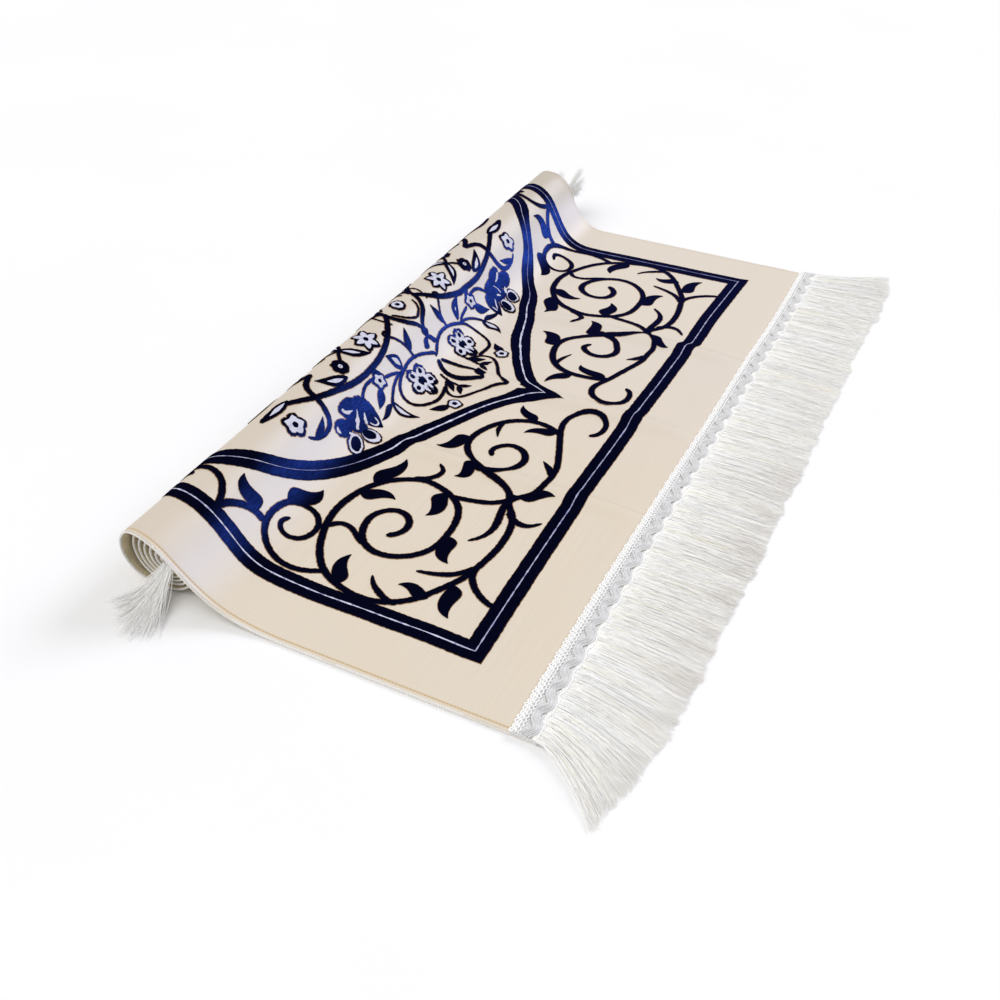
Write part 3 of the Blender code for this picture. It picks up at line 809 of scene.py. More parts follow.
# A leaf's two edges: share of its length, and their distances as shares of its width.
LOBED = ((0.0, 0.16, 0.12), (0.08, 0.36, 0.18), (0.18, 0.50, 0.26), (0.28, 0.53, 0.37), (0.38,
                                                                                         0.46,
                                                                                         0.46),
         (0.48, 0.32, 0.52), (0.58, 0.18, 0.55), (0.70, 0.06, 0.53), (0.82, 0.0, 0.44), (0.92,
                                                                                         -0.01,
                                                                                         0.27),
                                                                                         (1.0,
                                                                                          0.02,
                                                                                          0.05))
SLIM = ((0.0, 0.10, 0.10), (0.10, 0.30, 0.30), (0.25, 0.45, 0.45), (0.42, 0.50, 0.50), (0.60,
                                                                                        0.42,
                                                                                        0.42),
        (0.78, 0.27, 0.27), (0.92, 0.12, 0.12), (1.0, 0.02, 0.02))


class Drawing:
    """Flat shapes of one yarn, drawn on the near side of the middle line (-1), on the far side
    (1), or straight across it (0). Its tone is 0 at pile's root and 1 on its top. Thread has no
    halo of root round it, and its tone says how little it is worn."""

    def __init__(self, ground, height, ragged, seed, halo=HALO):
        self.shape = bmesh.new()
        self.ground, self.height, self.ragged, self.halo = ground, height, ragged, halo
        self.brim = 0.45 if halo else 0.92      # height of its edges, as a share
        self.worn = lambda across, along: 0.0
        self.random = np.random.RandomState(seed)
        self.tones = self.shape.verts.layers.float.new("tone")

    def put(self, verts, spots, lifts, tones, side, anchor=None):
        """Places a grid's vertices: spots in millimetres, lifts as shares of the height. With an
        anchor, the shape keeps its form where its side's weave has moved."""
        spots = np.array(spots)
        if side and anchor != HELD:
            held = spots if anchor is None else np.array([anchor], float)
            spots = spots + (drifted(held) - held if side > 0 else near_move(held))
        if side:
            spots = spots * (side, 1.0) + (AXIS, 0.0)
        for vert, spot, lift, tone in zip(verts, spots, lifts, tones):
            vert.co = (spot[0] * MM, spot[1] * MM, self.ground + self.height * lift)
            vert[self.tones] = tone if self.halo else 1.0 - self.worn(*spot)
        bmesh.ops.remove_doubles(self.shape, verts=verts, dist=1e-7)

    def band(self, points, cross, side, top=1.0, anchor=None):
        """A slightly domed band: its middle line, and the vector to its edge."""
        widest = np.linalg.norm(cross, axis=1).max() * 2
        inner = max(math.ceil(widest / ACROSS) - 1, 1)
        halo = self.halo / max(widest / 2, 0.3)
        ring = [(-1.0 - halo, 0.14, 0.0), (-1.0, self.brim * top, 0.55)]
        ring += [(share, top * (1.0 - 0.10 * abs(share)), 1.0)
                 for share in np.linspace(-0.80, 0.80, inner + 2)]
        ring += [(1.0, self.brim * top, 0.55), (1.0 + halo, 0.14, 0.0)]
        under = self.halo == 0.0 or widest > 60.0
        points = np.vstack((points[:1], points, points[-1:]))
        cross = np.vstack((0 * cross[:1], cross, 0 * cross[-1:]))
        verts, numbers = grid_on(self.shape, len(points), len(ring))
        spots, lifts, tones = [], [], []
        for step, place in numbers:
            share, lift, tone = ring[place]
            end = step in (0, len(points) - 1)
            spots.append(points[step] + cross[step] * share)
            lifts.append(-0.1 if end or (under and place in (0, len(ring) - 1)) else lift)
            tones.append(0.4 if end else tone)
        self.put(verts, spots, lifts, tones, side, anchor)

    def rough(self, count, width):
        """Uneven edges: a share of the width for each step."""
        amount = self.ragged / max(width, 0.5)
        return 1.0 + self.random.uniform(-1.0, 1.0, (count, 1)) * amount

    def line(self, joints, width, start=1.0, end=1.0, sides=(-1, 1), top=1.0, anchor=None):
        """A stem: its width, and the shares of it that are left at its start and its end."""
        points = curve_through(joints)
        share = np.linspace(0.0, 1.0, len(points))
        span = np.linalg.norm(np.diff(points, axis=0), axis=1).sum()
        from_end = np.minimum(share, 1.0 - share) * span
        blunt = np.sqrt(np.clip(from_end / (width * 0.45), 0.25, 1.0))
        profile = np.minimum(start + (1.0 - start) * share * 2.2,
                             end + (1.0 - end) * (1.0 - share) * 2.2)
        half = (width / 2 * np.minimum(profile, 1.0) * blunt)[:, None]
        across = sideways(points)
        for side in sides:
            shift = self.random.uniform(-0.5, 0.5, (len(points), 1)) * self.ragged
            self.band(points + across * shift, across * half * self.rough(len(points), width),
                      side, top, anchor)

    def leaf(self, root, tip, width, lobe=1, curl=0.0, sides=(-1, 1), top=1.0, inset=0.0,
             anchor=None):
        """A leaf with a round lobe on one side of its root and a belly on the other, drawn out to
        a tip that curls towards the lobe. With no lobe, a slim one. inset gives the shape
        inside, with that much edge left round it."""
        root, tip = np.array(root, float), np.array(tip, float)
        span = tip - root
        length = np.linalg.norm(span)
        normal = np.array((-span[1], span[0])) / length * (lobe or 1)
        share = np.linspace(0.0, 1.0, max(round(length / 1.0), 9))
        where, bud, belly = zip(*(LOBED if lobe else SLIM))
        bud, belly = np.interp(share, where, bud) * width, np.interp(share, where, belly) * width
        middle, half = (bud - belly) / 2, (bud + belly) / 2
        middle = middle - curl * length * np.sin(math.pi * share)
        if inset:
            inside = np.flatnonzero((half > inset + 0.35) & (share > 0.12) & (share < 0.86))
            share, middle, half = share[inside], middle[inside], half[inside] - inset
            half = half * np.sin(math.pi * np.linspace(0.06, 0.94, len(half))) ** 0.5
        for side in sides:
            rough = self.rough(len(share), width)
            spine = root + span * share[:, None] + normal * middle[:, None]
            self.band(spine, normal * half[:, None] * rough, side, top, anchor)

    def disc(self, centre, outline, side, top=1.0, anchor=None):
        """A domed patch: outline gives its radius for each angle."""
        size = float(np.max(outline(np.linspace(0.0, 6.28, 40))))
        count = max(24, 5 * round(0.85 * size))
        angles = np.arange(count) * 2 * math.pi / count
        radii = outline(angles) * self.rough(count, 6.0)[:, 0]
        rings = ((0.0, top, 1.0), (0.50, top, 1.0), (-0.8, top * 0.92, 1.0),
                 (-0.1, self.brim * top, 0.55), (self.halo, 0.14 if self.halo else -0.1, 0.0))
        verts, numbers = grid_on(self.shape, count + 1, len(rings))
        spots, lifts, tones = [], [], []
        for turn, ring in numbers:
            share, lift, tone = rings[ring]
            angle, radius = angles[turn % count], radii[turn % count]
            radius = radius * share if ring < 2 else max(radius + share, 0.1)
            spots.append((centre[0] + radius * math.cos(angle),
                          centre[1] + radius * math.sin(angle)))
            lifts.append(lift)
            tones.append(tone)
        self.put(verts, spots, lifts, tones, side, anchor or centre)


def petals(radius, count, depth, turn=0.0, fullness=0.8):
    """An outline with this many round petals."""
    def outline(angles):
        lobes = np.abs(np.cos((angles - turn) * count / 2)) ** fullness
        return radius * (1.0 - depth + depth * lobes)
    return outline


def star(radius, count, depth, turn=0.0):
    """An outline with this many pointed petals."""
    def outline(angles):
        wave = np.abs(((angles - turn) * count / (2 * math.pi)) % 1.0 - 0.5) * 2.0
        return radius * (1.0 - depth * (1.0 - wave))
    return outline


def oval(length, width, turn):
    """An oval outline, its long way at this angle."""
    def outline(angles):
        c, s = np.cos(angles - turn), np.sin(angles - turn)
        return 1.0 / np.sqrt((c / (length / 2)) ** 2 + (s / (width / 2)) ** 2)
    return outline


# Frame and arch, in millimetres.
FRAME_AT = 298.5            # middle of the frame's side band, from the middle of the rug
FRAME_TOP = 49.6            # middle of its band by the fringe, at the corners
FRAME_BOW = 5.8             # how much further in that band lies at its middle
FRAME_JOGS = ((-113.0, 1.0), (9.0, 0.7), (145.0, -1.8))     # where old folds shift it, how far
BAND_HALF = 8.2             # half the width of a dark band
LINE_WIDTH = 1.35           # width of the pale line along it
DRAWN_END = 452.0           # the ornament is drawn this far, past where the roll hides it
ARCH = ((0.0, 136.0), (5.0, 148.5), (12.5, 158.5), (27.0, 169.5), (43.0, 178.5), (62.0, 187.0),
        (83.0, 195.5), (103.0, 203.0), (121.0, 208.0), (143.0, 215.0), (163.0, 222.0),
        (183.0, 231.0),
        (199.0, 240.0), (213.0, 250.0), (227.0, 263.0), (240.0, 278.0), (252.0, 292.0),
        (261.0, 306.0),
        (266.0, 320.0), (269.0, 336.0), (270.0, 356.0), (270.0, 390.0), (270.0, DRAWN_END))
ARCH_TIP = 17.5             # half of the band's depth along the middle line
MITRE = 12.0                # the arch's mitre has opened out this far from the middle line
FRAME_WORN = (0.50, 0.10, 0.85)     # how worn the pale line is: by the fringe, near, far
SIDE_SWAY = {               # how far each side band strays from its straight line
    -1: ((0, 0), (60, 0), (100, -1.0), (140, -0.5), (180, -0.5), (225, 2.0), (255, -1.5),
         (275, -2.0), (300, 0.5), (460, 0)),
    1: ((0, 0), (60, -2.0), (100, -2.5), (200, -5.0), (250, -4.0), (275, 0.0), (300, 3.0),
        (340, 1.0), (460, 0)),
}


def frame_paths():
    """The frame's three bands: their middle lines and the vectors to their edges."""
    away = np.linspace(-FRAME_AT, FRAME_AT, 300)
    bowed = FRAME_TOP + FRAME_BOW * (1.0 - (away / FRAME_AT) ** 2)
    for at, jog in FRAME_JOGS:
        bowed = bowed + jog * (smooth((away - at + 7.0) / 14.0) - smooth((away - at - 8.0) / 60.0))
    top = np.stack((away, bowed), -1)
    cross = np.tile((0.0, -BAND_HALF), (len(away), 1))
    cross[0], cross[-1] = (-BAND_HALF, -BAND_HALF), (BAND_HALF, -BAND_HALF)
    paths = [(top, cross)]
    for side in (-1, 1):
        along = np.linspace(FRAME_TOP, DRAWN_END, 260)
        where, sway = zip(*SIDE_SWAY[side])
        away = (side * FRAME_AT + side * np.interp(along, where, sway)
                + 0.4 * np.sin(along * 0.11 + side))
        away = np.convolve(np.pad(away, 9, mode="edge"), np.ones(19) / 19, mode="valid")
        away[0] = side * FRAME_AT
        cross = np.tile((side * BAND_HALF, 0.0), (len(along), 1))
        cross[0] = (side * BAND_HALF, -BAND_HALF)
        paths.append((np.stack((away, along), -1), cross))
    return paths


def arch_path():
    points = curve_through(ARCH, 1.8)
    cross = sideways(points) * BAND_HALF
    open_out = smooth(points[:, :1] / MITRE)
    tip = np.array((0.0, ARCH_TIP))
    return points, tip + (cross - tip) * open_out


def arch_wear(across, _along):
    """How worn the arch's pale line is: little near the tip, almost away on the slope."""
    away = abs(across - AXIS)
    dots = 0.5 + 0.5 * math.sin(away * 0.9) * math.sin(away * 0.37 + 1.0)
    slope = smooth((away - 135.0) / 30.0) * (1.0 - 0.7 * smooth((away - 222.0) / 18.0))
    return 0.05 + float(slope) * (0.72 + 0.23 * dots)


def make_bands(sizes):
    """The dark frame and the arch, with a broken pale line along the middle of each band."""
    ragged = sizes.pile_edge / MM
    ground = sizes.sheet_thickness / 2
    dark = Drawing(ground, sizes.pile_height, ragged * 0.75, 11)
    pale = Drawing(ground + sizes.pile_height * 0.80, sizes.pile_height * 0.35, ragged * 0.8, 12,
                   halo=0.0)

    def both(points, cross, side, wide):
        dark.band(points, cross * dark.rough(len(points), BAND_HALF), side)
        thin = cross / np.linalg.norm(cross, axis=1, keepdims=True) * LINE_WIDTH / 2
        where = np.linalg.norm(points, axis=1)
        beat = (0.72 + 0.30 * np.sin(where * 0.61) * np.sin(where * 0.173 + 1.0)
                + 0.12 * np.sin(where * 1.9))
        pale.band(points, thin * (beat * wide)[:, None] * pale.rough(len(points), 1.6), side)

    for (points, cross), worn in zip(frame_paths(), FRAME_WORN):
        pale.worn = lambda across, along, share=worn: share
        both(points, cross, 0, np.ones(len(points)) * (1.0 - 0.25 * worn))
    pale.worn = arch_wear
    points, cross = arch_path()
    away = points[:, 0]
    wide = (1.0 + 0.9 * np.exp(-away / 9.0) - 0.52 * smooth((away - 138.0) / 40.0)
            + 0.55 * smooth((away - 8.0) / 40.0) * smooth((170.0 - away) / 90.0))
    for side in (-1, 1):
        both(points, cross, side, wide)
    return dark, pale


# Corner scrolls: joints, width, and the shares of it left at the start and at the end, if less.
SCROLLS = (
    (((138, 96), (148, 98), (157, 92), (170, 85), (186, 82), (204, 82), (224, 85), (240, 89),
     (252, 95), (264, 102), (275, 110), (284, 122), (289, 138), (288.5, 152), (285, 165),
     (278, 179), (266, 191), (250, 200), (232, 206), (212, 208), (196, 206), (180, 201),
     (166, 192),
     (157, 180), (153, 166), (156, 152), (162, 139), (172, 129), (187, 123), (203, 121.5),
     (219, 123), (233, 131), (241, 142), (244, 155), (241, 167), (233, 176), (222, 181),
     (210, 182),
     (200, 177), (195, 168), (197, 159), (204, 153), (212, 152), (219, 155), (224, 161)), 5.4),
    (((257, 57), (254, 65), (249, 73), (242, 80), (232, 85), (222, 85)), 5.0, 0.9, 1.0),
    (((226, 86), (237, 94), (244, 106), (248, 122)), 5.0, 1.0, 0.55),
    (((284, 117), (283, 126), (279, 134), (273, 142), (266, 147)), 4.8, 1.0, 0.45),
    (((138, 98), (154, 99), (170, 96), (184, 95), (195, 99), (202, 105)), 5.8, 1.0, 0.45),
    (((158, 93), (166, 85), (168, 75), (160, 65)), 5.6, 1.0, 0.4),
    (((144, 98), (152, 106), (157, 117), (160, 130), (162, 143)), 5.2),
    (((154, 178), (150, 169), (143, 163), (136, 162), (129, 168)), 5.2, 1.0, 0.5),
    (((240, 170), (235, 179), (229, 188), (229, 197), (236, 203), (244, 209)), 4.6),
    (((276, 177), (284, 190), (288, 206), (284, 223), (275, 234), (262, 240), (249, 240),
      (239, 236), (233, 227), (233, 217), (239, 210), (250, 207.5), (260, 211), (265, 218),
      (265, 225),
     (259, 230.5), (251, 228)), 5.2, 0.9, 0.7),
    (((269, 238), (269, 249), (274, 259), (282, 266), (291, 270)), 5.8),
    (((291, 269), (280, 274), (271, 283), (269, 294), (273, 305), (283, 318), (291, 334)), 5.2,
     1.0, 0.9),
    (((148, 99), (138, 93), (130, 85.5), (120, 82), (108, 82.5), (95, 83), (80, 87), (64, 93),
     (49, 99), (35, 103.5), (22, 104), (11, 99), (5.5, 90), (6.5, 79), (13, 72.5), (23, 70.5),
     (32, 73), (37, 78)), 5.2, 1.0, 0.9),
    (((103, 83), (95, 88), (87, 97)), 5.6, 1.0, 0.2),
    (((148, 98), (139, 102), (132, 109), (127, 119), (123, 131), (117, 142), (108, 152),
      (98, 160), (86, 163.5), (72, 161.5), (58, 155), (47, 145.5), (40, 133), (38.5, 120),
      (42, 108),
     (47, 99)), 5.6),
    (((122, 141), (121, 129), (116, 120), (107, 114.5), (98, 111), (89, 112), (81, 119),
      (79, 129), (84, 137), (92, 140.5), (99, 137)), 6.0, 1.0, 0.75),
    (((50, 149), (60, 149.5), (73, 145)), 4.0, 0.9, 0.25),
)
# Leaves on them: root, tip, width, side of the lobe.
SCROLL_LEAVES = (
    ((250, 92.6), (280, 79.5), 14.5, -1), ((268, 101), (266, 126), 12.0, -1),
    ((205, 122), (231, 106), 15.0, -1), ((160, 145), (190, 147), 15.5, 1),
    ((189, 205), (184, 177), 14.0, 1), ((175, 200), (136, 195), 14.0, -1),
    ((286, 167), (254, 172), 13.5, 1), ((240, 238), (210, 226), 17.0, -1),
    ((268, 249), (254, 274), 15.5, 1), ((138, 94), (127, 69), 11.5, 1),
    ((117, 141), (137, 151), 13.5, 1), ((84, 163), (106, 184), 15.5, 1),
    ((43, 104), (57, 128), 11.0, -1), ((39, 127), (20, 146), 10.5, 1),
    ((279, 300), (285, 324), 10.0, 1), ((289, 334), (276, 358), 10.0, -1),
    ((279, 362), (290, 386), 10.0, 1), ((290, 390), (278, 414), 10.0, -1),
    ((279, 418), (289, 440), 10.0, 1),
)


def make_scrolls(sizes):
    """The scrolls and leaves in the two corners over the arch."""
    dark = Drawing(sizes.sheet_thickness / 2, sizes.pile_height, sizes.pile_edge / MM, 21)
    for joints, width, *ends in SCROLLS:
        dark.line(joints, width - 0.3, *ends)
    for root, tip, width, lobe in SCROLL_LEAVES:
        dark.leaf(root, tip, width, lobe, top=1.03)
    return dark


# Lines of the flowered field, in the same way.
FIELD_LINES = (
    (((0, 171), (5, 181), (12, 188), (22, 194), (31, 199), (36.5, 206), (34.5, 213), (27, 218.5),
     (18, 223)), 2.8, 1.0, 0.8),
    (((76, 260), (68, 258.5), (58, 255)), 2.6),
    (((115, 257), (107, 263), (96, 266), (84, 265)), 2.6),
    (((19, 230), (20, 219), (20, 209), (24, 204)), 2.4, 1.0, 0.9),
    (((30, 257), (31, 269), (36, 279), (45, 288)), 2.6, 1.0, 0.9),
    (((19, 302), (30, 293), (43, 284.5), (58, 278), (76, 274), (96, 272.5), (114, 274),
      (132, 278), (150, 283), (165, 289.5), (180, 296), (206, 296)), 5.1, 1.0, 0.8),
    (((185, 264), (179, 259), (168, 257.5), (159, 261), (154, 270), (152, 283), (150, 293),
      (143, 299), (132, 303)), 4.8, 0.5, 1.0),
    (((26, 290), (29, 296), (31, 303)), 1.8),
    (((90, 304), (97, 299), (104, 292)), 2.8),
    (((45, 288), (40, 290), (36, 288)), 2.4, 1.0, 0.6),
)
# Leaves: root, tip, width, side of the lobe or 0, bend, and the edge left round a pale middle.
FIELD_LEAVES = (
    ((88, 241), (82, 214), 8.8, 0, -0.14, 2.4), ((90, 239), (112, 235), 5.6, 1, 0.0, 0),
    ((88, 256), (105, 243), 8.0, 0, 0.06, 0), ((51, 202), (67, 213), 7.6, 0, 0.05, 0),
    ((19, 221), (30, 209), 6.0, 0, 0.0, 0), ((20, 210), (30, 202), 4.4, 0, 0.0, 0),
    ((20, 210), (13, 200), 4.4, 0, 0.0, 0),
    ((111, 280), (138, 295), 10.5, 0, 0.10, 3.2), ((92, 305), (71, 283), 9.5, 0, -0.10, 3.1),
    ((180, 259), (160, 269), 6.2, 0, -0.08, 0), ((172, 296), (206, 295), 8.6, 0, 0.0, 2.4),
    ((0, 273), (0, 261), 6.5, 0, 0.0, 0), ((86, 272), (77, 266), 5.0, 0, 0.0, 0),
)
# Flowers: centre, radius, number of petals, how deep they are cut, pointed or round, turn, and
# the radii of the white and of the heart.
FIELD_FLOWERS = (
    ((46, 199.5), 7.2, 5, 0.14, False, 0.6, 5.7, 2.6), ((84, 261), 9.0, 5, 0.30, True, 0.3, 6.8,
                                                        2.1),
    ((187, 277.5), 11.0, 5, 0.26, False, 0.94, 8.8, 2.7), ((62, 295.0), 14.0, 6, 0.46, True,
                                                           0.15, 11.6, 2.6),
    ((0, 302), 8.0, 8, 0.08, False, 0.0, 5.6, 2.4), ((107.5, 290.5), 8.2, 7, 0.16, False, 0.0,
                                                     2.3, 0.8),
)
ROSETTE = (42.5, 236.5)     # the round flower's centre
ROSETTE_TURN = -1.52
SEED = (5.8, 4.5)           # length and width of the dark seed in each of its petals
SEED_OUT = 10.3             # from its centre
# What lies otherwise on each side (-1 near, 1 far), given where it lies there. Lines as above.
OWN_LINES = {
    -1: (
        (((0.8, 195), (3.7, 202), (9.4, 212.3), (13.2, 222), (13.7, 229), (11.4, 236),
          (7.5, 241.5)), 5.2, 0.7, 0.9),
        (((7, 245), (5.4, 247.7), (13.4, 252.3), (22.5, 255.7)), 2.0),
        (((29.5, 219), (40, 216), (52.2, 215), (62, 218), (68.2, 221.4), (75.5, 231.7),
          (73.9, 240.9), (64.5, 250), (52.2, 255), (38.5, 258), (22.5, 255.7), (11, 251),
          (5.4, 247.7)),
         2.8),
        (((91, 239.7), (77.4, 248.9), (62.5, 254.6), (52, 255.5)), 2.4),
        (((-2, 268), (2, 277), (9, 283), (15.5, 289), (21.4, 298), (23, 304)), 4.6, 0.7, 1.0),
        (((-3.8, 282.6), (5.4, 286.6), (17.4, 298)), 2.0),
    ),
    1: (
        (((0, 196), (4, 203), (7, 209), (4.5, 217), (1.6, 226), (-1, 233), (-5, 240)), 4.2, 0.7,
         0.9),
        (((-4.8, 246), (2.6, 251), (11.8, 256.9), (18.5, 259)), 2.0),
        (((33.5, 218), (44.9, 217.4), (56.4, 219), (60.9, 224.9), (60.9, 236.3), (56.4, 247.7),
         (46, 254.6), (32.4, 258.6), (17.5, 258.6), (7.2, 254.6), (-3, 247.7)), 2.8),
        (((79.5, 240.5), (70, 248), (59, 252.5), (50, 253.5)), 2.4),
        (((2, 268), (3.8, 275), (11, 281), (18.5, 286.6), (24.4, 298), (25.5, 304)), 4.6, 0.7,
         1.0),
        (((3.8, 282.6), (15.2, 291), (16.9, 298)), 2.0),
    ),
}
OWN_LEAVES = {
    -1: (((52.2, 257), (60.8, 274.6), 12.5, 0, -0.12, 3.6), ((31.5, 263.7), (19.5, 283), 8.0, 0,
                                                             0.0, 0),
         ((12, 257), (-1, 263), 7.0, 1, 0.0, 0), ((121, 252), (118.5, 230.5), 17.0, 0, 0.0, 0)),
    1: (((49.5, 257), (69, 275), 8.5, 0, -0.12, 3.6), ((30.5, 263), (28.5, 284), 7.5, 0, 0.0, 0),
        ((7.5, 257), (-3, 263), 7.0, 1, 0.0, 0), ((1, 199), (14.5, 209), 10.0, 0, 0.0, 0),
        ((112, 256), (105.4, 231), 17.0, 0, 0.0, 0)),
}
# The great blossom: ovals by centre, length, width, angle.
OWN_OVALS = {
    -1: (((129.5, 255), 28, 22, 0.2), ((151.5, 252), 18, 16, 0.1), ((133, 263), 23, 13, 0),
         ((119.5, 252), 27, 18, 1.45),
         ((138, 246), 20, 13, 0.8)),
    1: (((112, 250), 20, 16, 0), ((125, 257), 30, 20, 0), ((146.5, 257), 25, 16, 0.15),
        ((135, 265.5), 26, 13, 0.45),
        ((128, 247), 22, 10, 0.1)),
}
# Its petals with a pale ring: angle, then centre, length and width of the edge, ring and heart.
OWN_RINGED = {
    -1: ((-0.60, ((153.5, 236), 22, 15.5), ((153.5, 236), 19.5, 13), ((153.5, 236), 15.5, 9.5)),
         (0.91, ((135, 232), 19, 15), ((135, 232), 16.5, 12.5), ((135.5, 234.0), 13, 9.5))),
    1: ((1.5, ((122.9, 234.2), 19.5, 16), ((123.5, 234.5), 17, 12.8), ((122.0, 235), 13.5, 9.4)),
        (0.5, ((140.8, 238), 20, 17), ((140.8, 238), 17, 14.5), ((139.4, 237.8), 13.5, 11.5))),
}
# The pale gaps between its petals, as lines.
OWN_GAPS = {
    -1: (
        (((141, 243.5), (137, 247), (131.5, 251.5), (127, 256.5)), 4.2, 1.0, 0.15),
        (((128.8, 241.5), (126.5, 246), (122.5, 250.5)), 2.8, 0.9, 0.3),
        (((125.3, 241), (122, 235.8), (119.5, 235.5), (117, 242)), 1.7, 0.6, 0.6),
        (((157.6, 250), (157.8, 253.5), (156, 256)), 3.0, 0.6, 0.6),
        (((131.5, 258), (136, 258.8), (139.5, 261), (140.2, 264.5)), 3.6, 0.2, 0.9),
        (((147, 241.5), (149.5, 244.5), (150, 246.5)), 3.6, 0.8, 0.5),
    ),
    1: (
        (((122.5, 250), (125, 248.5), (127.5, 246.7)), 2.5, 0.9, 0.5),
        (((130.4, 248.3), (129.2, 255), (125.8, 259.2)), 1.4, 0.8, 0.8),
        (((136.5, 245), (139, 247.5), (141.5, 251)), 3.6, 1.0, 0.3),
        (((132.5, 260.4), (137.5, 262.5), (144, 266.7)), 2.6, 0.5, 1.0),
        (((106.7, 237.5), (105.6, 241), (104.2, 244.2)), 1.6, 0.7, 0.7),
        (((108.3, 239.2), (112, 243.5), (115.8, 248.3)), 1.6, 0.7, 0.7),
    ),
}
MIRROR_AT = 303.0           # past the top of the roll the field repeats itself backwards


def make_field(sizes):
    """Flowers, leaves and lines of the field under the arch."""
    ground, ragged = sizes.sheet_thickness / 2, sizes.pile_edge / MM
    dark = Drawing(ground, sizes.pile_height, ragged, 31)
    pale = Drawing(ground, sizes.pile_height * 1.15, ragged, 32, halo=0.0)
    heart = Drawing(ground, sizes.pile_height * 1.35, ragged, 33, halo=0.0)
    for back in (False, True):
        flip = -1 if back else 1

        def place(spot):
            return (spot[0], 2 * MIRROR_AT - spot[1]) if back else spot

        def leaf(root, tip, width, lobe, curl, hollow, sides, anchor=None):
            curl = curl if lobe else curl * flip
            shape = place(root), place(tip), width, lobe * flip, curl, sides
            dark.leaf(*shape, 1.02, anchor=anchor)
            if hollow:
                pale.leaf(*shape, inset=hollow, anchor=anchor)

        def line(drawing, joints, width, start=1.0, end=1.0, sides=(-1, 1), anchor=None):
            drawing.line([place(joint) for joint in joints], width, start, end, sides,
                         anchor=anchor)

        for joints, *widths in FIELD_LINES:
            line(dark, joints, *widths)
        for row in FIELD_LEAVES:
            if not back or min(row[0][1], row[1][1]) < MIRROR_AT - 11.0:
                leaf(*row, (-1, 1))
        for centre, radius, count, depth, pointed, turn, inner, core in FIELD_FLOWERS:
            if back and centre[1] > MIRROR_AT - radius:
                continue
            turn *= flip
            outline = (star(radius, count, depth * 0.75, turn) if pointed
                       else petals(radius, count, depth, turn))
            for side in (-1, 1) if centre[0] else (-1,):
                dark.disc(place(centre), outline, side)
                pale.disc(place(centre), star(inner, count, depth * 1.2, turn), side)
                heart.disc(place(centre), petals(core, count, 0.1, turn), side)
        for side in (-1, 1):
            spot = place(ROSETTE)
            dark.disc(spot, petals(17.4, 5, 0.42, ROSETTE_TURN * flip, 0.55), side, 1.04)
            pale.disc(spot, petals(14.8, 5, 0.50, ROSETTE_TURN * flip, 0.55), side)
            heart.disc(spot, petals(5.0, 5, 0.06, 0.3), side)
            for number in range(5):
                angle = ROSETTE_TURN * flip + number * 2 * math.pi / 5
                seed = (spot[0] + SEED_OUT * math.cos(angle), spot[1] + SEED_OUT * math.sin(angle))
                heart.disc(seed, oval(*SEED, angle), side, anchor=spot)
            for joints, *widths in OWN_LINES[side]:
                line(dark, joints, *widths, sides=(side,), anchor=HELD)
            for row in OWN_LEAVES[side]:
                leaf(*row, (side,), HELD)
            for centre, length, width, angle in OWN_OVALS[side]:
                dark.disc(place(centre), oval(length, width, angle * flip), side, 1.06, HELD)
            for angle, *rings in OWN_RINGED[side]:
                for drawing, (centre, *size) in zip((dark, pale, heart), rings):
                    drawing.disc(place(centre), oval(*size, angle * flip), side, 1.04, HELD)
            for joints, *widths in OWN_GAPS[side]:
                line(pale, joints, *widths, sides=(side,), anchor=HELD)
    return dark, pale, heart


def laid_piece(drawing, name, material):
    """Lays what was drawn flat on the sheet, as a piece."""
    bmesh.ops.recalc_face_normals(drawing.shape, faces=drawing.shape.faces)
    mesh = mesh_of(drawing.shape, name)
    drawn = points_of(mesh)
    laid = FORM.lay(*drawn.T)
    laid[:, 2] = np.maximum(laid[:, 2], 0.0002)
    put_points(mesh, laid)
    finish_piece(name, mesh, "satin", material, flat=drawn)


# --- fringes ----------------------------------------------------------------------------
def uneven(place, size, pace, seed):
    return size * (np.sin(place * pace + seed) + np.sin(place * pace * 2.3 + 1.7 * seed)
                   + np.sin(place * pace * 5.1 + 2.9 * seed)) / 3.0


def corner_sweep(y):
    total = 0.0
    for row, away, side in ((CORNER_SWEEP["near"], y + HALF_WIDTH, -1),
                            (CORNER_SWEEP["far"], HALF_WIDTH - y, 1)):
        total = total + side * (row["carry"] * np.exp(-away / row["reach"])
                                + row["long_carry"] * np.exp(-away / row["long_reach"]))
    return total


def strand_length(y):
    near, far = CORNER_SWEEP["near"], CORNER_SWEEP["far"]
    lost = (near["shorter"] * np.exp(-(y + HALF_WIDTH) / near["long_reach"])
            + far["shorter"] * np.exp(-(HALF_WIDTH - y) / far["long_reach"]))
    return FRINGE_LENGTH * (1.0 - lost + uneven(y, **LENGTH_CHANGE))


